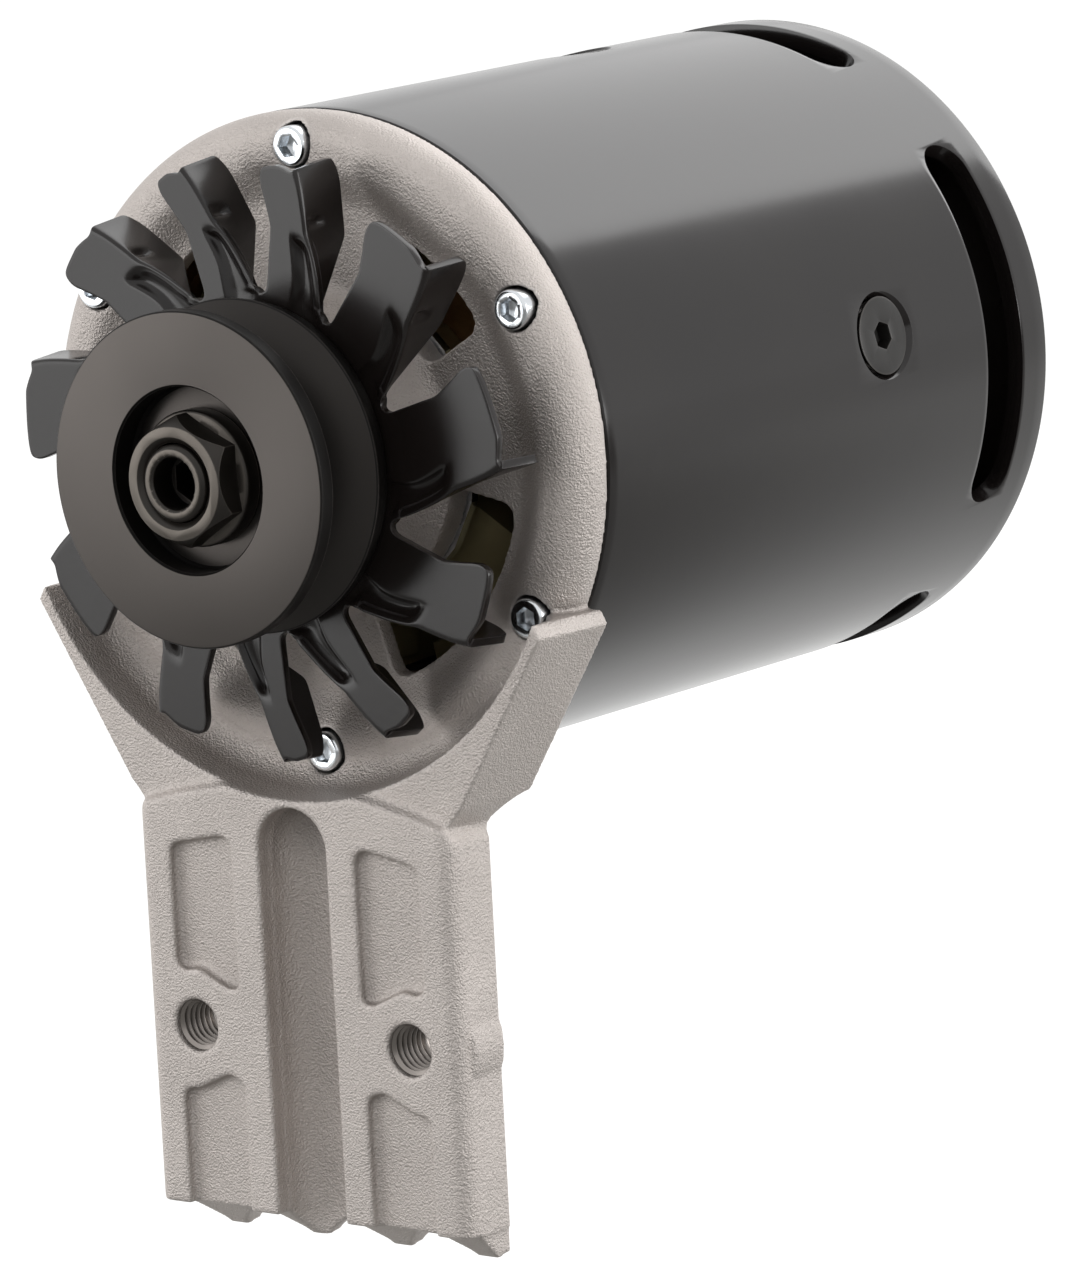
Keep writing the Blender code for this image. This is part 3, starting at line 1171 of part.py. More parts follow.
def make_fan(shop):
    """The folded sheet fan: a flat hub, and blades whose bends split round a pressed gusset."""
    bends = [fan_bend_deg(index) for index in range(FAN_BLADES)]
    bends.append(bends[0] + 360.0)
    corners = [bends[index + 1] - FAN_CORNER_BACK_DEG for index in range(FAN_BLADES)]
    slots = [corner - FAN_ROOT_BACK_DEG for corner in corners]
    slots.insert(0, slots[-1] - 360.0)
    sheet = bmesh.new()

    def face(*points):
        sheet.faces.new([sheet.verts.new(point) for point in points])

    for index in range(FAN_BLADES):
        blade = FanBlade(bends[index], slots[index + 1], slots[index], corners[index])
        rows = [blade.row(*edge) for edge in blade.edges()]
        for radius in (FAN_HUB_RADIUS, SHAFT_RADIUS + GAP):
            rows.insert(0, [radius * point.normalized() for point in
                            (Vector((point.x, 0.0, point.z)) for point in rows[0])])
            for point in rows[0]:
                point.y = FAN_FRONT_Y
        for inner, outer in zip(rows, rows[1:]):
            for column in range(len(inner) - 1):
                face(inner[column], inner[column + 1], outer[column + 1], outer[column])
        rear = blade.rear_edge()
        bend = [row[-1] for row in rows[-len(rear) - 1:]]
        face(bend[0], bend[1], rear[0])
        for step in range(len(rear) - 1):
            face(bend[step + 1], bend[step + 2], rear[step + 1], rear[step])
    bmesh.ops.remove_doubles(sheet, verts=sheet.verts, dist=MERGE_DISTANCE)
    bmesh.ops.recalc_face_normals(sheet, faces=sheet.faces)
    flat = max(sheet.faces, key=lambda item: abs(item.normal.y) * item.calc_area())
    if flat.normal.y > 0:
        bmesh.ops.reverse_faces(sheet, faces=sheet.faces)
    data = bpy.data.meshes.new("fan")
    sheet.to_mesh(data)
    sheet.free()
    fan = shop.piece("fan", data, SATIN_BLACK)
    wall = fan.modifiers.new("sheet", "SOLIDIFY")
    wall.thickness = FAN_SHEET
    wall.offset = -1.0
    wall.use_even_offset = True
    return fan


def make_bearing(shop, name, front_y, width, shaft_radius, outer_radius, race_outer, race_inner, balls, cage):
    """Outer race, inner race and the balls in their cage."""
    rear_y = front_y + width
    turned(shop, name + "_outer_race", tube_loop(race_outer, outer_radius, front_y, rear_y), BARE_STEEL)
    turned(shop, name + "_inner_race", tube_loop(shaft_radius + GAP, race_inner, front_y, rear_y), BARE_STEEL)
    pitch = (race_outer + race_inner) / 2
    middle = (front_y + rear_y) / 2
    half_width, wall = cage
    ring = tube_loop(pitch - wall, pitch + wall, middle - half_width, middle + half_width)
    set_of_balls = turned(shop, name + "_balls", ring, ZINC_STEEL, SIDES)
    count, radius = balls
    spheres = Solids()
    for place in circle_places(count, 0.0, pitch, middle):
        spheres.ball(place, radius)
    shop.operate(set_of_balls, shop.tool(name + "_spheres", spheres.finish(name + "_spheres")), "UNION")


def make_retainer(shop):
    """The plate that keeps the front bearing in its boss, with its screws."""
    front_y = BEARING_REAR_Y + GAP
    rear_y = front_y + RETAINER_THICKNESS
    plate = turned(shop, "bearing_retainer",
                   tube_loop(RETAINER_INNER_RADIUS, RETAINER_OUTER_RADIUS, front_y, rear_y), ZINC_STEEL)
    places = circle_places(RETAINER_SCREW_COUNT, RETAINER_SCREW_FIRST_DEG, RETAINER_SCREW_CIRCLE_RADIUS)
    holes = Solids()
    for place in places:
        holes.rod(place + Vector((0.0, front_y - OVERRUN, 0.0)), place + Vector((0.0, rear_y + OVERRUN, 0.0)),
                  RETAINER_SCREW_RADIUS + GAP, sides=SIDES_SCREW)
    shop.operate(plate, shop.tool("retainer_holes", holes.finish("retainer_holes")))
    for index, place in enumerate(places):
        name = f"retainer_screw_{index + 1}"
        head_y = rear_y + GAP
        head = Solids()
        head.rod(place + Vector((0.0, head_y, 0.0)),
                 place + Vector((0.0, head_y + RETAINER_SCREW_HEAD_HEIGHT, 0.0)), RETAINER_SCREW_HEAD_RADIUS,
                 sides=SIDES_SCREW)
        screw = shop.piece(name, head.finish(name), ZINC_STEEL)
        shank = Solids()
        shank.rod(place + Vector((0.0, head_y - RETAINER_SCREW_LENGTH, 0.0)),
                  place + Vector((0.0, head_y + SUNK, 0.0)), RETAINER_SCREW_RADIUS, sides=SIDES_SCREW)
        shop.operate(screw, shop.tool(name + "_shank", shank.finish(name + "_shank")), "UNION")


def make_claw_pole(shop, name, front, first_deg):
    """One half of the rotor's iron: a plate on the shaft with six tapered fingers bent along it."""
    plate_y = CLAW_FRONT_Y if front else CLAW_REAR_Y
    sense = 1 if front else -1
    middle_y = (CLAW_FRONT_Y + CLAW_REAR_Y) / 2
    inner_y = plate_y + sense * CLAW_PLATE_THICKNESS
    core_y = middle_y - sense * GAP / 2
    bore = SHAFT_ROTOR_RADIUS + GAP
    loop = [(bore, plate_y), (CLAW_HUB_RADIUS, plate_y), (CLAW_HUB_RADIUS, inner_y),
            (CLAW_CORE_RADIUS, inner_y), (CLAW_CORE_RADIUS, core_y), (bore, core_y)]
    pole = turned(shop, name, loop, GOLD_VARNISH)
    arms, fingers = Solids(), Solids()
    for index in range(CLAW_COUNT):
        angle_deg = first_deg + 360.0 * index / CLAW_COUNT

        def arm(x, y, z, angle_deg=angle_deg):
            radius = CLAW_HUB_RADIUS - SUNK + (CLAW_RADIUS - SUNK - CLAW_HUB_RADIUS) * (z + 0.5)
            turn_by = math.degrees(2 * x * CLAW_ROOT_HALF_WIDTH / radius) * (radius / CLAW_RADIUS) ** 0.5
            along = GAP + (CLAW_PLATE_THICKNESS - 2 * GAP) * (y + 0.5)
            return polar(radius, angle_deg + turn_by, plate_y + sense * along)

        def finger(x, y, z, angle_deg=angle_deg):
            along = y + 0.5
            half = CLAW_ROOT_HALF_WIDTH + (CLAW_TIP_HALF_WIDTH - CLAW_ROOT_HALF_WIDTH) * along
            depth = CLAW_ROOT_DEPTH + (CLAW_TIP_DEPTH - CLAW_ROOT_DEPTH) * along
            radius = CLAW_RADIUS - depth * (0.5 - z)
            turn_by = math.degrees(2 * x * half / CLAW_RADIUS)
            return polar(radius, angle_deg + turn_by,
                         plate_y + sense * (SUNK + CLAW_FINGER_LENGTH * along))

        arms.warped(3, arm)
        fingers.warped(3, finger)
    shop.operate(pole, shop.tool(name + "_arms", arms.finish(name + "_arms")), "UNION")
    shop.operate(pole, shop.tool(name + "_fingers", fingers.finish(name + "_fingers")), "UNION")
    return pole


def make_rotor(shop):
    """Two claw poles and the field coil between them."""
    make_claw_pole(shop, "front_claw_pole", True, CLAW_FIRST_DEG)
    make_claw_pole(shop, "rear_claw_pole", False, CLAW_FIRST_DEG + 180.0 / CLAW_COUNT)
    coil_front = CLAW_FRONT_Y + CLAW_PLATE_THICKNESS + GAP
    coil_rear = CLAW_REAR_Y - CLAW_PLATE_THICKNESS - GAP
    turned(shop, "field_coil", tube_loop(CLAW_CORE_RADIUS + GAP, COIL_RADIUS, coil_front, coil_rear, SUNK),
           ENAMELLED_WIRE)


def flat_curve(shop, name, loops, front_y, rear_y):
    """A flat outline with its holes, thickened along Y, as mesh data with welded caps."""
    curve = bpy.data.curves.new(name, "CURVE")
    curve.dimensions = "2D"
    curve.fill_mode = "BOTH"
    curve.extrude = (rear_y - front_y) / 2
    for loop in loops:
        spline = curve.splines.new("POLY")
        spline.points.add(len(loop) - 1)
        for index, (x, z) in enumerate(loop):
            spline.points[index].co = (x, -z, 0.0, 1.0)
        spline.use_cyclic_u = True
    drawn = bpy.data.objects.new(name, curve)
    shop.cutters.objects.link(drawn)
    seen = drawn.evaluated_get(bpy.context.evaluated_depsgraph_get())
    data = bpy.data.meshes.new_from_object(seen)
    bpy.data.objects.remove(drawn, do_unlink=True)
    bpy.data.curves.remove(curve)
    made = bmesh.new()
    made.from_mesh(data)
    bmesh.ops.remove_doubles(made, verts=made.verts, dist=MERGE_DISTANCE)
    stand = Matrix.Translation((0.0, (front_y + rear_y) / 2, 0.0)) @ Matrix.Rotation(-math.pi / 2, 4, "X")
    bmesh.ops.transform(made, matrix=stand, verts=made.verts)
    bmesh.ops.recalc_face_normals(made, faces=made.faces)
    made.to_mesh(data)
    made.free()
    data.materials.clear()
    return data


def make_stator(shop):
    """The slotted core and its winding, with one coil side in each slot."""
    outer = [tuple(polar(INSIDE_RADIUS, 360.0 * index / SIDES_FINE).xz) for index in range(SIDES_FINE)]
    inner = []
    for index in range(STATOR_SLOTS):
        middle_deg = 360.0 * (index + 0.5) / STATOR_SLOTS
        corners = ((STATOR_BORE_RADIUS, SLOT_MOUTH_HALF_WIDTH), (SLOT_LIP_RADIUS, SLOT_MOUTH_HALF_WIDTH),
                   (SLOT_LIP_RADIUS, SLOT_BODY_HALF_WIDTH), (SLOT_FLOOR_RADIUS, SLOT_BODY_HALF_WIDTH))
        for side, order in ((-1, corners), (1, tuple(reversed(corners)))):
            for radius, half in order:
                place = polar(radius, middle_deg + side * math.degrees(half / radius))
                inner.append((place.x, place.z))
    core = shop.piece("stator_core",
                      flat_curve(shop, "stator_core", [outer, inner], STATOR_FRONT_Y, STATOR_REAR_Y), LAMINATION)
    drop = WINDING_CROWN_DROP
    for name, edge_y, sense in (("stator_winding_front", STATOR_FRONT_Y - GAP, -1),
                                ("stator_winding_rear", STATOR_REAR_Y + GAP, 1)):
        crown_y = edge_y + sense * WINDING_OVERHANG
        loop = [(WINDING_INNER_RADIUS, edge_y), (WINDING_OUTER_RADIUS, edge_y),
                (WINDING_OUTER_RADIUS, crown_y - sense * drop), (WINDING_OUTER_RADIUS - drop, crown_y),
                (WINDING_INNER_RADIUS + drop, crown_y), (WINDING_INNER_RADIUS, crown_y - sense * drop)]
        ring = turned(shop, name, loop, ENAMELLED_WIRE, SIDES)
        if sense > 0:
            continue
        bars = Solids()
        for index in range(STATOR_SLOTS):
            middle_deg = 360.0 * (index + 0.5) / STATOR_SLOTS

            def bar(x, y, z, middle_deg=middle_deg):
                radius = SLOT_LIP_RADIUS + GAP + (SLOT_FLOOR_RADIUS - SLOT_LIP_RADIUS - 2 * GAP) * (z + 0.5)
                turn_by = math.degrees(2 * x * (SLOT_BODY_HALF_WIDTH - GAP) / radius)
                front_y = STATOR_FRONT_Y - GAP - SUNK
                return polar(radius, middle_deg + turn_by, front_y + (STATOR_REAR_Y - front_y) * (y + 0.5))

            bars.warped(0, bar)
        shop.operate(ring, shop.tool(name + "_bars", bars.finish(name + "_bars")), "UNION")
    return core


def make_rear_frame(shop):
    """The slip ring end frame: rim for the case screws, web with windows, bearing boss, cover posts."""
    rim_inner = FRAME_RIM_INNER_RADIUS
    rim_rear = FRAME_FRONT_Y + FRAME_RIM_LENGTH
    seat = REAR_BEARING_OUTER_RADIUS + GAP
    lip_y = FRAME_FRONT_Y + FRAME_BOSS_LIP
    loop = [(FRAME_BOSS_LIP_RADIUS, FRAME_FRONT_Y), (INSIDE_RADIUS, FRAME_FRONT_Y), (INSIDE_RADIUS, rim_rear),
            (rim_inner, rim_rear), (rim_inner, FRAME_WEB_REAR_Y), (FRAME_BOSS_RADIUS, FRAME_WEB_REAR_Y),
            (FRAME_BOSS_RADIUS, REAR_BEARING_REAR_Y), (seat, REAR_BEARING_REAR_Y), (seat, lip_y),
            (FRAME_BOSS_LIP_RADIUS, lip_y)]
    frame = turned(shop, "rear_frame", loop, CAST_ALUMINIUM, SIDES_FINE)
    posts = Solids()
    for place in circle_places(POST_COUNT, POST_FIRST_DEG, POST_CIRCLE_RADIUS):
        posts.rod(place + Vector((0.0, FRAME_WEB_REAR_Y - SUNK, 0.0)),
                  place + Vector((0.0, COVER_FLOOR_Y - GAP, 0.0)), POST_RADIUS, sides=SIDES_SCREW)
    shop.operate(frame, shop.tool("cover_posts", posts.finish("cover_posts")), "UNION")
    cuts = Solids()
    for place in circle_places(POST_COUNT, POST_FIRST_DEG, POST_CIRCLE_RADIUS):
        deep = COVER_FLOOR_REAR_Y - COVER_SCREW_LENGTH
        cuts.rod(place + Vector((0.0, deep, 0.0)), place + Vector((0.0, COVER_FLOOR_Y + OVERRUN, 0.0)),
                 COVER_SCREW_RADIUS + GAP, sides=SIDES_SCREW)
    for index in range(CASE_SCREW_COUNT):
        out = polar(1.0, CASE_SCREW_FIRST_DEG + 360.0 * index / CASE_SCREW_COUNT)
        middle = Vector((0.0, CASE_SCREW_Y, 0.0))
        cuts.rod(middle + out * (rim_inner - OVERRUN), middle + out * (CASE_RADIUS + OVERRUN),
                 CASE_SCREW_RADIUS + GAP, sides=SIDES_SMALL)
    shop.operate(frame, shop.tool("frame_threads", cuts.finish("frame_threads")))
    shop.operate(frame, countersinks_tool(shop, "frame_countersinks"))
    windows = windows_tool(shop, "frame_windows", FRAME_WINDOW_INNER_RADIUS, FRAME_WINDOW_OUTER_RADIUS,
                           FRAME_WINDOWS_DEG, FRAME_FRONT_Y - OVERRUN, FRAME_WEB_REAR_Y + OVERRUN)
    shop.operate(frame, windows)


def make_slip_rings(shop):
    """The insulating carrier on the shaft's tail and the two rings let into it."""
    rear_y = CARRIER_FRONT_Y + CARRIER_LENGTH
    turned(shop, "slip_ring_carrier",
           tube_loop(SHAFT_TAIL_RADIUS + GAP, CARRIER_RADIUS, CARRIER_FRONT_Y, rear_y), PLASTIC)
    for index, name in enumerate(("slip_ring_front", "slip_ring_rear")):
        middle = SLIP_RING_FIRST_Y + SLIP_RING_PITCH * index
        half = SLIP_RING_LENGTH / 2
        turned(shop, name, tube_loop(CARRIER_RADIUS + GAP, SLIP_RING_RADIUS, middle - half, middle + half),
               COPPER)


def spring_data(name, middle_y, low_z, high_z):
    """A coil spring between two heights, with level end turns, as mesh data."""
    curve = bpy.data.curves.new(name, "CURVE")
    curve.dimensions = "3D"
    curve.bevel_depth = SPRING_WIRE_RADIUS
    curve.bevel_resolution = 0
    curve.use_fill_caps = True
    spline = curve.splines.new("POLY")
    count = SPRING_TURNS * SPRING_POINTS_PER_TURN
    spline.points.add(count)
    low, high = low_z + SPRING_WIRE_RADIUS, high_z - SPRING_WIRE_RADIUS
    for index in range(count + 1):
        angle = 2 * math.pi * index / SPRING_POINTS_PER_TURN
        rise = (index / count - SPRING_LEVEL_SHARE) / (1 - 2 * SPRING_LEVEL_SHARE)
        rise = min(max(rise, 0.0), 1.0)
        height = low + (high - low) * rise
        spline.points[index].co = (SPRING_RADIUS * math.cos(angle), middle_y + SPRING_RADIUS * math.sin(angle),
                                   height, 1.0)
    return curve


def make_brush_gear(shop):
    """The holder with its two chutes, the brushes and their springs, and the regulator on top."""
    foot = [(HOLDER_FRONT_Y, HOLDER_FOOT_Z), (HOLDER_REAR_Y, HOLDER_FOOT_Z), (HOLDER_REAR_Y, HOLDER_TOP_Z),
            (FRAME_WEB_REAR_Y + GAP, HOLDER_TOP_Z), (FRAME_WEB_REAR_Y + GAP, HOLDER_SHELF_Z),
            (HOLDER_FRONT_Y, HOLDER_SHELF_Z)]
    body = Solids()
    body.bar(foot, -HOLDER_HALF_WIDTH, HOLDER_HALF_WIDTH)
    holder = shop.piece("brush_holder", body.finish("brush_holder"), PLASTIC)
    chutes = Solids()
    wide, long = BRUSH_HALF_WIDTH + GAP, BRUSH_HALF_LENGTH + GAP
    for index in range(2):
        middle = SLIP_RING_FIRST_Y + SLIP_RING_PITCH * index
        chutes.block((-wide, middle - long, HOLDER_FOOT_Z - OVERRUN), (wide, middle + long, CHUTE_TOP_Z))
        name = f"brush_{index + 1}"
        brush = Solids()
        brush.block((-BRUSH_HALF_WIDTH, middle - BRUSH_HALF_LENGTH, SLIP_RING_RADIUS + GAP),
                    (BRUSH_HALF_WIDTH, middle + BRUSH_HALF_LENGTH, BRUSH_TOP_Z))
        shop.piece(name, brush.finish(name), CARBON)
        spring_name = f"brush_spring_{index + 1}"
        shop.piece(spring_name, spring_data(spring_name, middle, BRUSH_TOP_Z + GAP, CHUTE_TOP_Z - GAP),
                   BARE_STEEL)
    shop.operate(holder, shop.tool("brush_chutes", chutes.finish("brush_chutes")))
    low_z = HOLDER_TOP_Z + GAP
    block = Solids()
    block.block((-REGULATOR_HALF_WIDTH, REGULATOR_FRONT_Y, low_z),
                (REGULATOR_HALF_WIDTH, HOLDER_REAR_Y, low_z + REGULATOR_HEIGHT))
    regulator = shop.piece("regulator", block.finish("regulator"), PLASTIC)
    fins = Solids()
    pitch = 2 * REGULATOR_HALF_WIDTH / REGULATOR_FINS
    for index in range(REGULATOR_FINS):
        left = -REGULATOR_HALF_WIDTH + pitch * index + REGULATOR_FIN_THICKNESS
        fins.block((left, REGULATOR_FRONT_Y - OVERRUN, low_z + REGULATOR_HEIGHT - REGULATOR_FIN_DEPTH),
                   (left + pitch - REGULATOR_FIN_THICKNESS, HOLDER_REAR_Y + OVERRUN,
                    low_z + REGULATOR_HEIGHT + OVERRUN))
    shop.operate(regulator, shop.tool("regulator_fins", fins.finish("regulator_fins")))


def make_heat_sink(shop, name, front_y):
    """A crescent plate with its press fitted diodes."""
    rear_y = front_y + SINK_THICKNESS
    crescent = Solids()
    sections = []
    steps = 16
    for step in range(steps + 1):
        angle_deg = SINK_FIRST_DEG + (SINK_LAST_DEG - SINK_FIRST_DEG) * step / steps
        sections.append((polar(SINK_INNER_RADIUS, angle_deg, front_y), polar(SINK_OUTER_RADIUS, angle_deg, front_y),
                         polar(SINK_OUTER_RADIUS, angle_deg, rear_y), polar(SINK_INNER_RADIUS, angle_deg, rear_y)))
    crescent.strip(sections)
    sink = shop.piece(name, crescent.finish(name), BARE_STEEL)
    diodes = Solids()
    for angle_deg in DIODE_DEGS:
        diodes.rod(polar(DIODE_CIRCLE_RADIUS, angle_deg, rear_y - SUNK),
                   polar(DIODE_CIRCLE_RADIUS, angle_deg, rear_y + DIODE_HEIGHT), DIODE_RADIUS,
                   sides=SIDES_SCREW)
    shop.operate(sink, shop.tool(name + "_diodes", diodes.finish(name + "_diodes")), "UNION")


def make_rectifier(shop):
    """The negative sink on the frame, the positive one behind it, and the bushes between them."""
    make_heat_sink(shop, "negative_heat_sink", NEGATIVE_SINK_Y)
    make_heat_sink(shop, "positive_heat_sink", POSITIVE_SINK_Y)
    for index, angle_deg in enumerate(INSULATOR_DEGS):
        name = f"sink_insulator_{index + 1}"
        bush = Solids()
        bush.rod(polar(DIODE_CIRCLE_RADIUS, angle_deg, NEGATIVE_SINK_Y + SINK_THICKNESS + GAP),
                 polar(DIODE_CIRCLE_RADIUS, angle_deg, POSITIVE_SINK_Y - GAP), INSULATOR_RADIUS,
                 sides=SIDES_SCREW)
        shop.piece(name, bush.finish(name), PALE_INSULATOR)


def make_terminal(shop):
    """The output stud on the positive sink, its bush in the cover and its nut."""
    middle = polar(STUD_CIRCLE_RADIUS, STUD_DEG)
    ahead = Vector((0.0, 1.0, 0.0))
    foot = Solids()
    foot.rod(middle + ahead * STUD_FOOT_Y, middle + ahead * (STUD_FOOT_Y + STUD_FLANGE_THICKNESS),
             STUD_FLANGE_RADIUS)
    stud = shop.piece("output_stud", foot.finish("output_stud"), ZINC_STEEL)
    rod = Solids()
    rod.rod(middle + ahead * (STUD_FOOT_Y + SUNK), middle + ahead * STUD_END_Y, STUD_RADIUS)
    shop.operate(stud, shop.tool("output_stud_rod", rod.finish("output_stud_rod")), "UNION")
    flange_y = COVER_FLOOR_REAR_Y + GAP
    bush_body = Solids()
    bush_body.rod(middle + ahead * (COVER_FLOOR_Y - BUSH_FLANGE_THICKNESS), middle + ahead * (flange_y + SUNK),
                  BUSH_RADIUS)
    bush = shop.piece("output_bush", bush_body.finish("output_bush"), PALE_INSULATOR)
    flange = Solids()
    flange.rod(middle + ahead * flange_y, middle + ahead * (flange_y + BUSH_FLANGE_THICKNESS),
               BUSH_FLANGE_RADIUS)
    shop.operate(bush, shop.tool("output_bush_flange", flange.finish("output_bush_flange")), "UNION")
    nut_y = flange_y + BUSH_FLANGE_THICKNESS + GAP
    hexagon = Solids()
    hexagon.rod(middle + ahead * nut_y, middle + ahead * (nut_y + TERMINAL_NUT_HEIGHT), TERMINAL_NUT_RADIUS,
                sides=6)
    nut = shop.piece("output_nut", hexagon.finish("output_nut"), ZINC_STEEL)
    bore = Solids()
    bore.rod(middle + ahead * (COVER_FLOOR_Y - BUSH_FLANGE_THICKNESS - OVERRUN),
             middle + ahead * (STUD_END_Y + OVERRUN), STUD_RADIUS + GAP)
    hole = shop.tool("output_bore", bore.finish("output_bore"))
    shop.operate(bush, hole)
    shop.operate(nut, hole)


def make_plug_socket(shop):
    """The socket for the regulator's leads, through the end cover."""
    front_y = HOLDER_REAR_Y + GAP
    high_z = PLUG_FOOT_Z + PLUG_HEIGHT
    shell = Solids()
    shell.block((-PLUG_HALF_WIDTH, front_y, PLUG_FOOT_Z), (PLUG_HALF_WIDTH, PLUG_REAR_Y, high_z))
    plug = shop.piece("plug_socket", shell.finish("plug_socket"), PLASTIC)
    recess = Solids()
    recess.block((-PLUG_HALF_WIDTH + PLUG_WALL, PLUG_REAR_Y - PLUG_RECESS, PLUG_FOOT_Z + PLUG_WALL),
                 (PLUG_HALF_WIDTH - PLUG_WALL, PLUG_REAR_Y + OVERRUN, high_z - PLUG_WALL))
    shop.operate(plug, shop.tool("plug_recess", recess.finish("plug_recess")))
    pins = Solids()
    middle_z = PLUG_FOOT_Z + PLUG_HEIGHT / 2
    half = PLUG_PIN_HALF_WIDTH
    for side in (-1, 1):
        middle = side * PLUG_PIN_SPACING / 2
        pins.block((middle - half, PLUG_REAR_Y - PLUG_RECESS - SUNK, middle_z - half),
                   (middle + half, PLUG_REAR_Y - PLUG_WALL, middle_z + half))
    shop.operate(plug, shop.tool("plug_pins", pins.finish("plug_pins")), "UNION")


def make_cover(shop):
    """The dished end cover inside the tube's rear, with its screws."""
    floor, sheet = COVER_FLOOR_Y, COVER_SHEET
    dish = COVER_DISH_RADIUS
    loop = [(0.0, floor), (dish, floor), (dish, COVER_REAR_Y - sheet), (INSIDE_RADIUS, COVER_REAR_Y - sheet),
            (INSIDE_RADIUS, COVER_REAR_Y), (dish - sheet, COVER_REAR_Y), (dish - sheet, floor + sheet),
            (0.0, floor + sheet)]
    cover = turned(shop, "end_cover", loop, SATIN_BLACK, SIDES_FINE, closed=False)
    cuts = Solids()
    places = circle_places(POST_COUNT, POST_FIRST_DEG, POST_CIRCLE_RADIUS)
    ahead = Vector((0.0, 1.0, 0.0))
    for place in places:
        cuts.rod(place + ahead * (floor - OVERRUN), place + ahead * (floor + sheet + OVERRUN),
                 COVER_SCREW_RADIUS + GAP, sides=SIDES_SCREW)
    stud = polar(STUD_CIRCLE_RADIUS, STUD_DEG)
    cuts.rod(stud + ahead * (floor - OVERRUN), stud + ahead * (floor + sheet + OVERRUN), BUSH_RADIUS + GAP,
             sides=SIDES_SMALL)
    cuts.block((-PLUG_HALF_WIDTH - GAP, floor - OVERRUN, PLUG_FOOT_Z - GAP),
               (PLUG_HALF_WIDTH + GAP, floor + sheet + OVERRUN, PLUG_FOOT_Z + PLUG_HEIGHT + GAP))
    shop.operate(cover, shop.tool("cover_holes", cuts.finish("cover_holes")))
    for index, place in enumerate(places):
        name = f"cover_screw_{index + 1}"
        head_y = COVER_FLOOR_REAR_Y + GAP
        head = Solids()
        head.rod(place + ahead * head_y, place + ahead * (head_y + COVER_SCREW_HEAD_HEIGHT),
                 COVER_SCREW_HEAD_RADIUS, sides=SIDES_SCREW)
        screw = shop.piece(name, head.finish(name), ZINC_STEEL)
        shank = Solids()
        shank.rod(place + ahead * (head_y - COVER_SCREW_LENGTH + GAP), place + ahead * (head_y + SUNK),
                  COVER_SCREW_RADIUS, sides=SIDES_SCREW)
        shop.operate(screw, shop.tool(name + "_shank", shank.finish(name + "_shank")), "UNION")


def main():
    """Builds every piece."""
    shop = Workshop()
    make_bracket(shop)
    make_case_tube(shop)
    make_rim_screws(shop)
    make_case_screws(shop)
    make_shaft(shop)
    make_pulley(shop)
    make_nut(shop)
    make_fan(shop)
    spacer = tube_loop(SHAFT_RADIUS + GAP, SPACER_RADIUS, FAN_REAR_Y + GAP, BEARING_FRONT_Y - GAP)
    turned(shop, "fan_spacer", spacer, BARE_STEEL)
    make_bearing(shop, "front_bearing", BEARING_FRONT_Y, BEARING_WIDTH, SHAFT_RADIUS, BEARING_OUTER_RADIUS,
                 BEARING_RACE_OUTER, BEARING_RACE_INNER, (BALL_COUNT, BALL_RADIUS),
                 (CAGE_HALF_WIDTH, CAGE_WALL))
    make_retainer(shop)
    make_rotor(shop)
    make_stator(shop)
    make_rear_frame(shop)
    make_bearing(shop, "rear_bearing", REAR_BEARING_FRONT_Y, REAR_BEARING_WIDTH, SHAFT_REAR_RADIUS,
                 REAR_BEARING_OUTER_RADIUS, REAR_RACE_OUTER, REAR_RACE_INNER,
                 (REAR_BALL_COUNT, REAR_BALL_RADIUS), (REAR_CAGE_HALF_WIDTH, REAR_CAGE_WALL))
    make_slip_rings(shop)
    make_brush_gear(shop)
    make_rectifier(shop)
    make_terminal(shop)
    make_plug_socket(shop)
    make_cover(shop)


main()
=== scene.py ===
"""Looks of the generator alternator head: its finishes, its fine forms, the camera and the studio.

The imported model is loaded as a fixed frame. Each class below models one sub-assembly more finely than its
solids, in the shaft's own frame, and dresses it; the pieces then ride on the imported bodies.
"""

import logging
import math
from collections.abc import Callable, Sequence
from dataclasses import dataclass, field
from enum import Enum

import bmesh
import bpy
from mathutils import Matrix, Vector


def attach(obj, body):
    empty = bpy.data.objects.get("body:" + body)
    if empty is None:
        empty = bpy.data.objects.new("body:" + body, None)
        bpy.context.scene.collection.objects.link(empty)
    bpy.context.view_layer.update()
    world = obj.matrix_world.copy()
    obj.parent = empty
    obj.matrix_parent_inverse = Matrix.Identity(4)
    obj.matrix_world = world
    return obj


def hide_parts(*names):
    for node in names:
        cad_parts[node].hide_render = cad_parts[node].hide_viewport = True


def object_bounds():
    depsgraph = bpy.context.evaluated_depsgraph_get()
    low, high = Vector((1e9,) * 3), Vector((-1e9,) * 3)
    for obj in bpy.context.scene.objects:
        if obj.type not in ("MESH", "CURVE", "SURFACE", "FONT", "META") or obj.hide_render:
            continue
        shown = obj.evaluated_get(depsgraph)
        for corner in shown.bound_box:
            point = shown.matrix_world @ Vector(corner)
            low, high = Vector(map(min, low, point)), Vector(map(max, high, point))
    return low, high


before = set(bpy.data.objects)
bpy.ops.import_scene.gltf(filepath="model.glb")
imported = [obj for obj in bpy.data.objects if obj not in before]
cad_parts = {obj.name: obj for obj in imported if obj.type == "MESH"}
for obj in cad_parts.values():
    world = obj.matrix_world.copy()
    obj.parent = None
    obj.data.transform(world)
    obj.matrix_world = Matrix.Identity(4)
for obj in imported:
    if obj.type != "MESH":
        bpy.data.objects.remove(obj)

LOG = logging.getLogger("alternator_head")
CAD_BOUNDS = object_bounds()

SHAFT_LINE = Vector((0.0, 0.0214, 0.113))
CLOSE = 0.00001


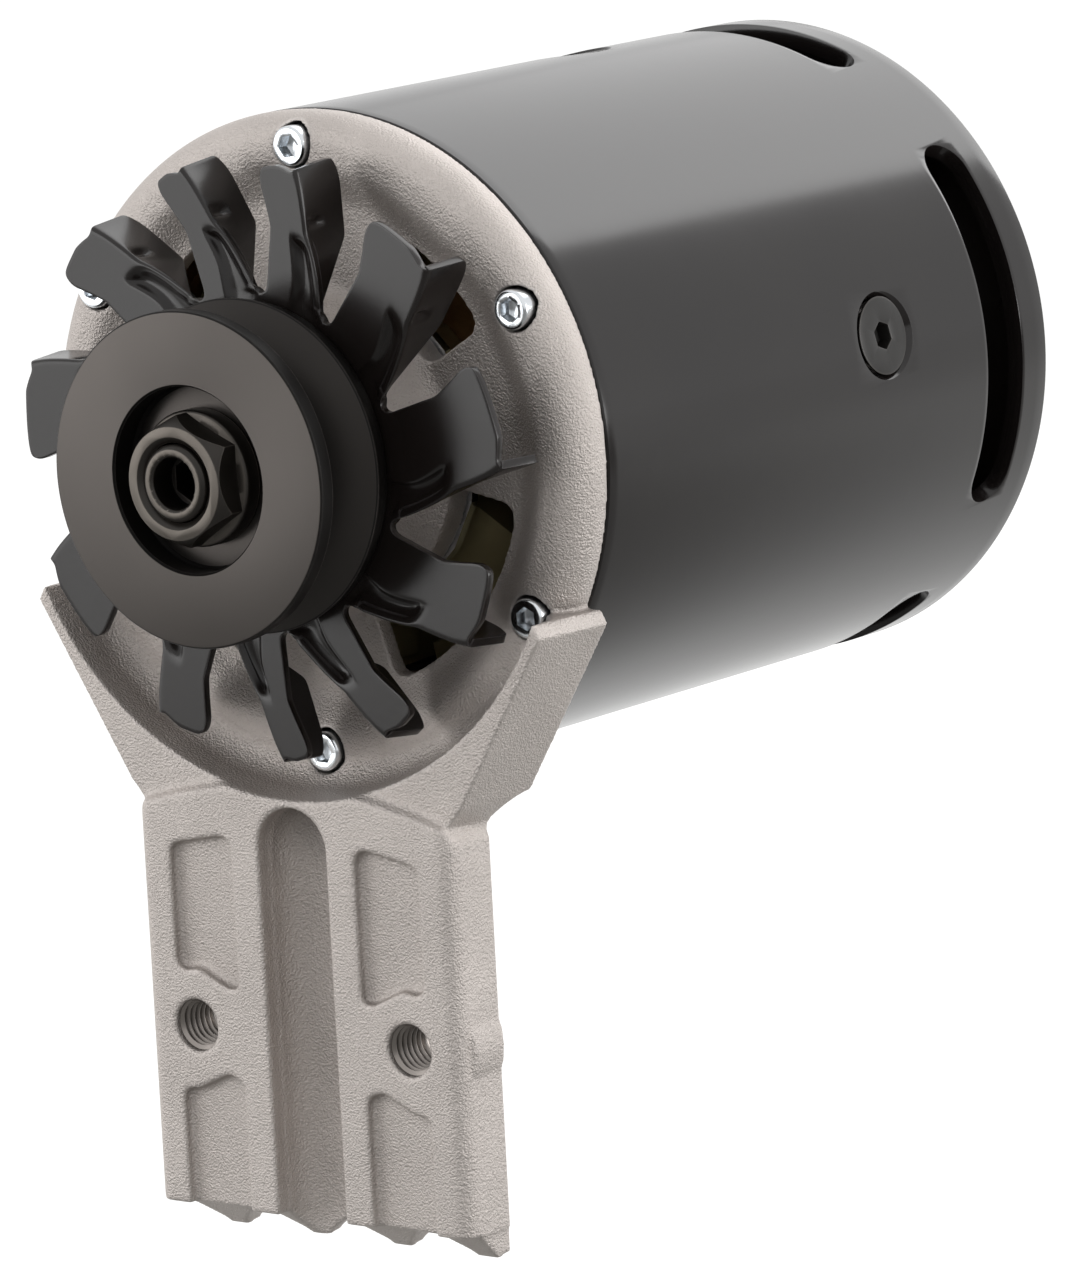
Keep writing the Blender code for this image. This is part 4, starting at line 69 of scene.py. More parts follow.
class Body(Enum):
    """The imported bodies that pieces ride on."""

    FRAME = "frame"
    ROTOR = "rotor"


class Cut(Enum):
    """How two solids are combined."""

    DIFFERENCE = "DIFFERENCE"
    UNION = "UNION"
    INTERSECT = "INTERSECT"


Colour = tuple[float, float, float]
Point2 = tuple[float, float]
Mesh = bpy.types.Mesh
Node = bpy.types.Node
NodeTree = bpy.types.NodeTree
Socket = bpy.types.NodeSocket
WHITE = (1.0, 1.0, 1.0, 1.0)


class Graph:
    """A node tree with short calls to grow it."""

    def __init__(self, tree: NodeTree) -> None:
        """Takes the tree to grow."""
        self.tree = tree

    def add(self, kind: str, values: dict[str | int, object] | None = None, **settings: object) -> Node:
        """Adds a node.

        Args:
            kind: The node's type name, without its ShaderNode.
            values: Inputs by name or number, each with a constant or a socket to link.
            **settings: Attributes of the node.

        Returns:
            The new node.
        """
        node = self.tree.nodes.new("ShaderNode" + kind)
        for key, value in settings.items():
            setattr(node, key, value)
        self.feed(node, values or {})
        return node

    def feed(self, node: Node, values: dict[str | int, object]) -> None:
        """Links or sets a node's inputs.

        Args:
            node: The node.
            values: Inputs by name or number, each with a constant or a socket to link.
        """
        for key, value in values.items():
            if isinstance(value, Socket):
                self.tree.links.new(value, node.inputs[key])
            else:
                node.inputs[key].default_value = value

    def noise(self, **values: object) -> Socket:
        """Noise over the object's own coordinates."""
        place = self.add("TexCoord").outputs["Object"]
        return self.add("TexNoise", {"Vector": place, **values}).outputs["Fac"]

    def ramp(self, value: Socket, low: object, high: object, start: float = 0.0, end: float = 1.0,
             **settings: object) -> Socket:
        """Takes a value from one range to another.

        Args:
            value: The socket with the value.
            low: The foot of its range.
            high: The top of its range.
            start: The result at the foot.
            end: The result at the top.
            **settings: Attributes of the node.

        Returns:
            The socket with the result.
        """
        node = self.add("MapRange", {"Value": value, "From Min": low, "From Max": high, "To Min": start,
                                     "To Max": end}, **settings)
        return node.outputs["Result"]

    def dot(self, value: Socket, along: Sequence[float]) -> Socket:
        """The distance of a point along a direction."""
        return self.add("VectorMath", {0: value, 1: along}, operation="DOT_PRODUCT").outputs["Value"]

    def rays(self, *kinds: str) -> Socket:
        """One for the named kinds of ray, else zero."""
        paths = self.add("LightPath").outputs
        mask = paths[kinds[0]]
        for kind in kinds[1:]:
            mask = self.add("Math", {0: mask, 1: paths[kind]}, operation="MAXIMUM").outputs["Value"]
        return mask


class Shader(Graph):
    """A material's node tree round its Principled BSDF."""

    def __init__(self, name: str) -> None:
        """Starts the material under its name."""
        self.material = bpy.data.materials.new(name)
        self.material.use_nodes = True
        super().__init__(self.material.node_tree)
        self.surface = self.tree.nodes["Principled BSDF"]


class Group(Graph):
    """A node group that several materials share."""

    def __init__(self, name: str, inputs: dict[str, float | Colour], *outputs: str) -> None:
        """Opens the group with its sockets.

        Args:
            name: The group's name.
            inputs: Input names and defaults; a three-number default makes a colour.
            *outputs: Output names, of which Color makes a colour.
        """
        super().__init__(bpy.data.node_groups.new(name, "ShaderNodeTree"))
        kinds = ("NodeSocketFloat", "NodeSocketColor")
        for key, value in inputs.items():
            tinted = isinstance(value, tuple)
            socket = self.tree.interface.new_socket(key, in_out="INPUT", socket_type=kinds[tinted])
            socket.default_value = (*value, 1.0) if tinted else value
        for key in outputs:
            self.tree.interface.new_socket(key, in_out="OUTPUT", socket_type=kinds[key == "Color"])
        self.given = self.tree.nodes.new("NodeGroupInput").outputs
        self.result = self.tree.nodes.new("NodeGroupOutput")

    def window(self, value: Socket, start: float, end: float) -> Socket:
        """Takes a value between the inputs Low and High to a result between two numbers."""
        return self.ramp(value, self.given["Low"], self.given["High"], start, end)

    def cover(self, samples: int, inside: bool) -> Socket:
        """How open the surface lies within the input Reach."""
        node = self.add("AmbientOcclusion", {"Distance": self.given["Reach"]}, samples=samples, inside=inside,
                        only_local=True)
        return node.outputs["AO"]

    def closed(self, **results: Socket) -> NodeTree:
        """The finished group with its results linked."""
        self.feed(self.result, results)
        return self.tree


class EffectLibrary:
    """Node groups that several finishes share, each built once."""

    def __init__(self) -> None:
        """Builds the groups."""
        self.grain = self._grain()
        self.wear_and_highlight = self._wear_and_highlight()
        self.mottle = self._mottle()
        self.painted_recess_shade = self._painted_recess_shade()
        self.facing = self._facing()
        self.turning = self._turning()

    @staticmethod
    def _grain() -> NodeTree:
        """Two scales of noise as one height, for blasted and painted skins."""
        group = Group("grain", {"Fine Scale": 900.0, "Coarse Scale": 220.0, "Coarse Share": 0.4}, "Height")
        fine = group.noise(Scale=group.given["Fine Scale"], Detail=3.0)
        coarse = group.noise(Scale=group.given["Coarse Scale"], Detail=4.0)
        mix = group.add("Mix", {"Factor": group.given["Coarse Share"], "A": fine, "B": coarse})
        return group.closed(Height=mix.outputs["Result"])

    @staticmethod
    def _wear_and_highlight() -> NodeTree:
        """A mask of the convex edges, broken up by noise, where lighter edges stand partly for real wear and
        partly for a painted highlight.
        """
        group = Group("edge_wear_and_highlight", {"Reach": 0.0006, "Low": 0.65, "High": 0.93, "Break Scale": 300.0}, "Mask")
        edges = group.window(group.cover(6, True), 1.6, 0.0)
        noise = group.noise(Scale=group.given["Break Scale"])
        times = group.add("Math", {0: edges, 1: noise}, operation="MULTIPLY", use_clamp=True)
        return group.closed(Mask=times.outputs["Value"])

    @staticmethod
    def _turning() -> NodeTree:
        """Fine tool lines round the shaft, on the faces and on the sides."""
        group = Group("turning", {"Scale": 2600.0}, "Height")
        place = group.add("TexCoord").outputs["Object"]
        shift = group.add("Mapping", {"Vector": place, "Location": (0.0, 0.0, -SHAFT_LINE.z)})
        split = group.add("SeparateXYZ", {"Vector": shift.outputs["Vector"]}).outputs
        flat = group.add("CombineXYZ", {"X": split["X"], "Z": split["Z"]}).outputs["Vector"]
        radius = group.add("VectorMath", {0: flat}, operation="LENGTH").outputs["Value"]
        lines = group.add("CombineXYZ", {"X": radius, "Y": split["Y"]}).outputs["Vector"]
        noise = group.add("TexNoise", {"Vector": lines, "Scale": group.given["Scale"]}, noise_dimensions="2D")
        return group.closed(Height=noise.outputs["Fac"])

    @staticmethod
    def _mottle() -> NodeTree:
        """Broad, soft variation between two colours."""
        group = Group("mottle", {"Dark": (0.1, 0.1, 0.1), "Light": (0.2, 0.2, 0.2), "Scale": 40.0}, "Color",
                      "Mask")
        noise = group.noise(Scale=group.given["Scale"], Detail=5.0)
        mix = group.add("Mix", {"Factor": noise, "A": group.given["Dark"], "B": group.given["Light"]},
                        data_type="RGBA")
        return group.closed(Color=mix.outputs["Result"], Mask=noise)

    @staticmethod
    def _painted_recess_shade() -> NodeTree:
        """A mask of deep grooves and corners, where painted shade darkens the colour."""
        group = Group("painted_recess_shade", {"Reach": 0.014, "Low": 0.35, "High": 0.72}, "Mask")
        return group.closed(Mask=group.window(group.cover(8, False), 0.8, 0.0))

    @staticmethod
    def _facing() -> NodeTree:
        """A mask of the faces that look along the shaft."""
        group = Group("facing", {"Low": 0.9, "High": 0.99}, "Mask")
        normal = group.add("NewGeometry").outputs["True Normal"]
        split = group.add("SeparateXYZ", {"Vector": normal}).outputs
        size = group.add("Math", {0: split["Y"]}, operation="ABSOLUTE").outputs["Value"]
        return group.closed(Mask=group.window(size, 0.0, 1.0))


EFFECTS = EffectLibrary()


@dataclass(frozen=True)
class Finish:
    """A surface: two near colours, a metal share, a roughness range and a grain."""

    name: str
    dark: Colour
    light: Colour
    metallic: float
    roughness: float
    rough_spread: float = 0.05
    mottle_scale: float = 40.0
    fine_scale: float = 900.0
    coarse_scale: float = 220.0
    coarse_share: float = 0.4
    bump_depth: float = 0.00004
    bump_strength: float = 0.3
    specular: float = 0.5
    # Lighter colour on convex edges: partly real wear, partly a painted highlight along the edges.
    wear_and_highlight: Colour | None = None
    wear_and_highlight_reach: float = 0.0005
    # Colour of painted shade laid into grooves, sockets and hollows.
    painted_recess_shade: Colour | None = None
    turned: Colour | None = None
    turned_metallic: float = 0.9
    turned_stretch: float = 0.75

    def make(self) -> bpy.types.Material:
        """Builds the material, or finds the one already built.

        Returns:
            The material.
        """
        name = self.name + "_finish"
        found = bpy.data.materials.get(name)
        if found:
            return found
        shader = Shader(name)
        surface = shader.surface
        shader.feed(surface, {"Metallic": self.metallic, "Specular IOR Level": self.specular})
        mottle = shader.add("Group", {"Dark": (*self.dark, 1.0), "Light": (*self.light, 1.0),
                                      "Scale": self.mottle_scale}, node_tree=EFFECTS.mottle).outputs
        colour = mottle["Color"]
        # Lighter edges: partly real wear, partly a painted highlight.
        if self.wear_and_highlight:
            colour = self._layer(shader, EFFECTS.wear_and_highlight, {"Reach": self.wear_and_highlight_reach}, colour, self.wear_and_highlight)[0]
        if self.turned:
            colour, facing = self._layer(shader, EFFECTS.facing, {}, colour, self.turned)
            tangent = shader.add("Tangent", direction_type="RADIAL", axis="Y").outputs["Tangent"]
            metal = shader.ramp(facing, 0.0, 1.0, self.metallic, self.turned_metallic)
            shader.feed(surface, {"Metallic": metal, "Tangent": tangent, "Anisotropic": self.turned_stretch})
            grain = shader.add("Group", node_tree=EFFECTS.turning)
        else:
            grain = shader.add("Group", {"Fine Scale": self.fine_scale, "Coarse Scale": self.coarse_scale,
                                         "Coarse Share": self.coarse_share}, node_tree=EFFECTS.grain)
        # Painted shade: the recess colour is mixed in where the occlusion mask finds hollows.
        if self.painted_recess_shade:
            colour = self._layer(shader, EFFECTS.painted_recess_shade, {}, colour, self.painted_recess_shade)[0]
        rough = shader.ramp(mottle["Mask"], 0.0, 1.0, self.roughness - self.rough_spread,
                            self.roughness + self.rough_spread)
        bump = shader.add("Bump", {"Strength": self.bump_strength, "Distance": self.bump_depth,
                                   "Height": grain.outputs["Height"]})
        shader.feed(surface, {"Base Color": colour, "Roughness": rough, "Normal": bump.outputs["Normal"]})
        return shader.material

    @staticmethod
    def _layer(shader: Shader, effect: NodeTree, values: dict[str, float], under: Socket,
               over: Colour) -> tuple[Socket, Socket]:
        """Lays a colour over another where an effect's mask says.

        Args:
            shader: The material in work.
            effect: The node group with the mask.
            values: Its inputs.
            under: The colour so far.
            over: The colour to lay over it.

        Returns:
            The sockets with the mixed colour and with the mask.
        """
        mask = shader.add("Group", values, node_tree=effect).outputs["Mask"]
        mix = shader.add("Mix", {"Factor": mask, "A": under, "B": (*over, 1.0)}, data_type="RGBA")
        return mix.outputs["Result"], mask


# A recess colour in these finishes is painted shade for grooves and hollows, not a colour of the part itself.
CAST_ALUMINIUM = Finish("cast_aluminium", (0.50, 0.457, 0.429), (0.68, 0.625, 0.591), 0.8, 0.5, 0.05, 60.0,
                        2300.0, 1200.0, 0.25, 0.00055, 1.0, wear_and_highlight=(0.74, 0.695, 0.66), wear_and_highlight_reach=0.0008,
                        painted_recess_shade=(0.045, 0.041, 0.038))
CASE_PAINT = Finish("case_paint", (0.010, 0.008, 0.008), (0.016, 0.013, 0.012), 0.0, 0.16, 0.03, 30.0,
                    260.0, 60.0, 0.6, 0.0002, 0.08, specular=0.44)
SHEET_PAINT = Finish("sheet_paint", (0.010, 0.008, 0.007), (0.017, 0.013, 0.012), 0.0, 0.23, 0.04, 60.0,
                     700.0, 160.0, 0.5, 0.00008, 0.2, specular=0.4, wear_and_highlight=(0.05, 0.045, 0.045),
                     wear_and_highlight_reach=0.0003)
# The pulley's light edge colour is a painted highlight along its rims.
PULLEY_BLACK = Finish("pulley_black", (0.006, 0.005, 0.005), (0.012, 0.011, 0.010), 0.0, 0.42, 0.04, 50.0,
                      bump_depth=0.00001, bump_strength=0.35, specular=0.12, wear_and_highlight=(0.16, 0.145, 0.135),
                      wear_and_highlight_reach=0.0003, painted_recess_shade=(0.006, 0.005, 0.005), turned=(0.095, 0.086, 0.08))
OXIDE_STEEL = Finish("oxide_steel", (0.014, 0.012, 0.010), (0.05, 0.043, 0.037), 0.5, 0.36, 0.08, 160.0,
                     bump_depth=0.00001, bump_strength=0.3, wear_and_highlight=(0.36, 0.32, 0.28), wear_and_highlight_reach=0.0003,
                     painted_recess_shade=(0.005, 0.004, 0.004), turned=(0.11, 0.098, 0.086))
CASE_SCREW_BLACK = Finish("case_screw_black", (0.012, 0.011, 0.010), (0.022, 0.020, 0.018), 0.3, 0.38, 0.05,
                          80.0, wear_and_highlight=(0.06, 0.055, 0.05))
BRIGHT_ZINC = Finish("bright_zinc", (0.60, 0.63, 0.66), (0.82, 0.84, 0.86), 1.0, 0.2, 0.06, 150.0,
                     900.0, 260.0, 0.4, 0.00003, 0.2)
PLAIN_STEEL = Finish("plain_steel", (0.30, 0.29, 0.28), (0.46, 0.45, 0.43), 1.0, 0.3, 0.06, 90.0)
THREAD_ALUMINIUM = Finish("thread_aluminium", (0.24, 0.215, 0.20), (0.34, 0.31, 0.285), 0.95, 0.32, 0.05,
                          200.0)
GOLD_VARNISH = Finish("gold_varnish", (0.20, 0.16, 0.075), (0.38, 0.32, 0.17), 0.35, 0.38, 0.08, 60.0,
                      600.0, 140.0, 0.5, 0.0001, 0.3)
WINDING = Finish("winding", (0.19, 0.085, 0.03), (0.36, 0.19, 0.08), 0.3, 0.34, 0.06, 200.0, 900.0, 300.0,
                 0.7, 0.0004, 0.6)
LAMINATION = Finish("lamination", (0.05, 0.05, 0.052), (0.11, 0.11, 0.115), 0.7, 0.45, 0.06, 120.0)
COPPER = Finish("copper", (0.55, 0.25, 0.13), (0.75, 0.40, 0.24), 1.0, 0.25, 0.05, 90.0)
CARBON = Finish("carbon", (0.02, 0.02, 0.02), (0.045, 0.045, 0.045), 0.2, 0.55, 0.08, 200.0)
MOULDING = Finish("moulding", (0.014, 0.014, 0.014), (0.03, 0.03, 0.03), 0.0, 0.48, 0.05, 80.0)
PALE_INSULATOR = Finish("pale_insulator", (0.36, 0.33, 0.24), (0.50, 0.46, 0.36), 0.0, 0.45, 0.06, 80.0)


NODE_FINISHES: dict[Finish, Sequence[str]] = {
    CAST_ALUMINIUM: ("drive_end_bracket", "rear_frame"),
    CASE_PAINT: ("case_tube",),
    SHEET_PAINT: ("fan", "end_cover"),
    PULLEY_BLACK: ("pulley",),
    OXIDE_STEEL: ("pulley_nut", "shaft"),
    CASE_SCREW_BLACK: ("case_screw",),
    BRIGHT_ZINC: ("rim_screw", "bearing_retainer", "retainer_screw", "cover_screw", "output_stud",
                  "output_nut", "front_bearing_balls", "rear_bearing_balls"),
    PLAIN_STEEL: ("fan_spacer", "front_bearing_inner_race", "front_bearing_outer_race",
                  "rear_bearing_inner_race", "rear_bearing_outer_race", "brush_spring",
                  "negative_heat_sink", "positive_heat_sink"),
    GOLD_VARNISH: ("front_claw_pole", "rear_claw_pole"),
    WINDING: ("field_coil", "stator_winding_front", "stator_winding_rear"),
    LAMINATION: ("stator_core",),
    COPPER: ("slip_ring_front", "slip_ring_rear"),
    CARBON: ("brush_1", "brush_2"),
    MOULDING: ("slip_ring_carrier", "brush_holder", "regulator", "plug_socket"),
    PALE_INSULATOR: ("output_bush", "sink_insulator"),
}


def dress_nodes() -> int:
    """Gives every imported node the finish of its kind.

    Returns:
        How many nodes were dressed.
    """
    finishes = {start: finish for finish, starts in NODE_FINISHES.items() for start in starts}
    for name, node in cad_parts.items():
        longest = max((start for start in finishes if name.startswith(start)), key=len)
        node.data.materials.clear()
        node.data.materials.append(finishes[longest].make())
    return len(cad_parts)


def polar(radius: float, angle_deg: float, y: float = 0.0) -> Vector:
    """The point at a radius and an angle about the shaft, from +X towards +Z."""
    angle = math.radians(angle_deg)
    return Vector((radius * math.cos(angle), y, radius * math.sin(angle)))


def arc(centre: Point2, radius: float, start_deg: float, end_deg: float, steps: int) -> list[Point2]:
    """Points of a flat arc, both ends included."""
    angles = [math.radians(start_deg + (end_deg - start_deg) * step / steps) for step in range(steps + 1)]
    return [(centre[0] + radius * math.cos(angle), centre[1] + radius * math.sin(angle)) for angle in angles]


def mirrored(half: Sequence[Point2]) -> list[Point2]:
    """The outline whose right half is given, from its top or its front round."""
    return [*half, *((-across, along) for across, along in reversed(half) if across > 0)]


def ease(low: float, high: float, value: float) -> float:
    """A smooth step from zero at low to one at high."""
    share = min(max((value - low) / (high - low), 0.0), 1.0)
    return share * share * (3.0 - 2.0 * share)


def blend(start: Point2, end: Point2, share: float) -> Point2:
    """The pair a share of the way from start to end."""
    return (start[0] + (end[0] - start[0]) * share, start[1] + (end[1] - start[1]) * share)


def rounded(corners: Sequence[Point2], radius: float, steps: int = 6) -> list[Point2]:
    """Rounds the corners of an outline.

    Args:
        corners: The outline's corners.
        radius: The arcs' radius, smaller where a side is short.
        steps: Divisions of each arc.

    Returns:
        The outline with an arc at each corner.
    """
    points: list[Point2] = []
    for index, corner in enumerate(corners):
        here = Vector(corner)
        back = Vector(corners[index - 1]) - here
        ahead = Vector(corners[(index + 1) % len(corners)]) - here
        half = back.angle(ahead) / 2
        reach = min(radius / math.tan(half), back.length / 2, ahead.length / 2)
        centre = here + (back.normalized() + ahead.normalized()).normalized() * reach / math.cos(half)
        first = here + back.normalized() * reach - centre
        last = here + ahead.normalized() * reach - centre
        turn = first.angle(last)
        for step in range(steps + 1):
            share = step / steps
            mixed = first * math.sin((1 - share) * turn) + last * math.sin(share * turn)
            points.append(tuple(centre + mixed / math.sin(turn)))
    return points


def ring_places(count: int, first_deg: float, radius: float) -> list[Vector]:
    """Places spread evenly round a circle about the shaft."""
    return [polar(radius, first_deg + 360.0 * index / count) for index in range(count)]


def linked(name: str, data: bpy.types.ID) -> bpy.types.Object:
    """A new object in the scene."""
    made = bpy.data.objects.new(name, data)
    bpy.context.scene.collection.objects.link(made)
    return made


class Shape:
    """Closed shapes collected in one mesh, in the shaft's own frame."""

    def __init__(self) -> None:
        """Starts an empty mesh."""
        self.mesh = bmesh.new()

    def rod(self, start: Vector, end: Vector, radius: float, end_radius: float | None = None,
            sides: int = 48, turn_deg: float = 0.0) -> "Shape":
        """Adds a cylinder, cone or prism between two points.

        Args:
            start: The middle of its foot.
            end: The middle of its top.
            radius: Its radius at the foot.
            end_radius: Its radius at the top, where that differs.
            sides: Its count of sides.
            turn_deg: Its turn about its own axis.

        Returns:
            The shape itself.
        """
        run = Vector(end) - Vector(start)
        stand = Matrix.Translation((Vector(start) + Vector(end)) / 2)
        stand @= run.to_track_quat("Z", "Y").to_matrix().to_4x4()
        stand @= Matrix.Rotation(math.radians(turn_deg), 4, "Z")
        bmesh.ops.create_cone(self.mesh, cap_ends=True, cap_tris=False, segments=sides, radius1=radius,
                              radius2=radius if end_radius is None else end_radius, depth=run.length,
                              matrix=stand)
        return self

    def pin(self, place: Vector, front_y: float, rear_y: float, radius: float, sides: int = 48,
            turn_deg: float = 0.0) -> "Shape":
        """Adds a cylinder or prism along the shaft's direction, at a place in X and Z."""
        return self.rod(place + Vector((0.0, front_y, 0.0)), place + Vector((0.0, rear_y, 0.0)), radius,
                        sides=sides, turn_deg=turn_deg)

    def plate(self, outline: Sequence[Point2], front_y: float, rear_y: float,
              spread: Callable[[float, float], Point2] | None = None) -> "Shape":
        """Adds an outline in X and Z thickened along Y, its rear corners moved by spread(x, z)."""
        near = [Vector((x, front_y, z)) for x, z in outline]
        far = [Vector((*(spread(x, z) if spread else (x, z)), rear_y)).xzy for x, z in outline]
        return self.loft([near, far])

    def bar(self, outline: Sequence[Point2], low_x: float, high_x: float) -> "Shape":
        """Adds an outline in Y and Z thickened across X."""
        return self.loft([[Vector((x, y, z)) for y, z in outline] for x in (low_x, high_x)])

    def post(self, outline: Sequence[Point2], low_z: float, high_z: float) -> "Shape":
        """Adds an outline in X and Y thickened up Z."""
        return self.loft([[Vector((x, y, z)) for x, y in outline] for z in (low_z, high_z)])

    def loft(self, sections: Sequence[Sequence[Vector]]) -> "Shape":
        """Adds a loft closed at both ends.

        Args:
            sections: Its sections, with equal counts of corners.

        Returns:
            The shape itself.
        """
        rings = [[self.mesh.verts.new(point) for point in section] for section in sections]
        for ring, following in zip(rings, rings[1:]):
            for corner in range(len(ring)):
                beside = (corner + 1) % len(ring)
                self.mesh.faces.new((ring[corner], ring[beside], following[beside], following[corner]))
        self.mesh.faces.new(reversed(rings[0]))
        self.mesh.faces.new(rings[-1])
        return self

    def wedge(self, row: Sequence[tuple[float, Point2, Point2]]) -> "Shape":
        """Adds a loft round the shaft through boxes, each with its angle and its spans of radius and Y."""
        return self.loft([[polar(radius, angle_deg, y) for radius, y in
                           ((near, front), (far, front), (far, rear), (near, rear))]
                          for angle_deg, (near, far), (front, rear) in row])

    def data(self) -> Mesh:
        """The collected shapes as mesh data with their faces pointing out."""
        bmesh.ops.recalc_face_normals(self.mesh, faces=self.mesh.faces)
        made = bpy.data.meshes.new("shape")
        self.mesh.to_mesh(made)
        self.mesh.free()
        return made


def lathe(loop: Sequence[Point2], sides: int) -> Mesh:
    """A profile of radius and Y points turned about the shaft.

    Args:
        loop: The profile, which is closed unless its ends lie on the axis.
        sides: Divisions round the shaft.

    Returns:
        The mesh data.
    """
    mesh = bmesh.new()
    rings = []
    for radius, y in loop:
        if radius < CLOSE:
            rings.append([mesh.verts.new((0.0, y, 0.0))] * sides)
            continue
        rings.append([mesh.verts.new(polar(radius, 360.0 * side / sides, y)) for side in range(sides)])
    pairs = list(zip(rings, rings[1:]))
    if loop[0][0] > CLOSE:
        pairs.append((rings[-1], rings[0]))
    for ring, following in pairs:
        for side in range(sides):
            beside = (side + 1) % sides
            corners = [ring[side], ring[beside], following[beside], following[side]]
            unique = list(dict.fromkeys(corners))
            if len(unique) > 2:
                mesh.faces.new(unique)
    bmesh.ops.recalc_face_normals(mesh, faces=mesh.faces)
    made = bpy.data.meshes.new("lathe")
    mesh.to_mesh(made)
    mesh.free()
    return made


class Forge:
    """Combines shapes, then sets the result in the frame as a piece."""

    def __init__(self, base: Mesh) -> None:
        """Starts from one mesh.

        Args:
            base: The mesh to work on.
        """
        self.work = linked("work", base)
        self.tools: list[bpy.types.Object] = []

    def operate(self, cut: Cut, data: Mesh) -> "Forge":
        """Adds a Boolean with a tool."""
        self.tools.append(linked("tool", data))
        return self.modify("BOOLEAN", operation=cut.value, solver="EXACT", object=self.tools[-1])

    def cut(self, data: Mesh) -> "Forge":
        """Takes a shape away."""
        return self.operate(Cut.DIFFERENCE, data)

    def join(self, data: Mesh) -> "Forge":
        """Adds a shape."""
        return self.operate(Cut.UNION, data)

    def modify(self, kind: str, **settings: object) -> "Forge":
        """Adds a modifier with its settings."""
        step = self.work.modifiers.new(kind.lower(), kind)
        for key, value in settings.items():
            setattr(step, key, value)
        return self

    def softened(self, voxel: float, rounds: int) -> "Forge":
        """Softens every edge as a casting's are, by an even remesh and smoothing."""
        self.modify("REMESH", mode="VOXEL", voxel_size=voxel)
        return self.modify("SMOOTH", factor=0.5, iterations=rounds)

    def bevelled(self, width: float, segments: int = 2, angle_deg: float = 35.0) -> "Forge":
        """Rounds the sharp edges slightly."""
        return self.modify("BEVEL", width=width, segments=segments, limit_method="ANGLE",
                           angle_limit=math.radians(angle_deg), use_clamp_overlap=True)

    def result(self) -> Mesh:
        """The finished mesh; the work and its tools are removed."""
        seen = self.work.evaluated_get(bpy.context.evaluated_depsgraph_get())
        made = bpy.data.meshes.new_from_object(seen)
        for obj in (self.work, *self.tools):
            bpy.data.objects.remove(obj, do_unlink=True)
        return made


def set_piece(name: str, data: Mesh, finish: Finish, body: Body, *replaced: str,
              sharp_deg: float = 35.0, slot: str = "") -> bpy.types.Object:
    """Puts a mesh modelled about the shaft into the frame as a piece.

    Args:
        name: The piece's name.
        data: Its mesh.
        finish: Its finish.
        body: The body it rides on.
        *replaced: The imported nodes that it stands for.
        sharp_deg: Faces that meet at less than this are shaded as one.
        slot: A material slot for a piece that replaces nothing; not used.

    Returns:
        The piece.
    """
    data.transform(Matrix.Translation(SHAFT_LINE))
    data.shade_smooth()
    data.set_sharp_from_angle(angle=math.radians(sharp_deg))
    data.materials.clear()
    data.materials.append(finish.make())
    piece = linked(name, data)
    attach(piece, body.value)
    if replaced:
        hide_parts(*replaced)
    LOG.info("%s: %d faces", name, len(data.polygons))
    return piece


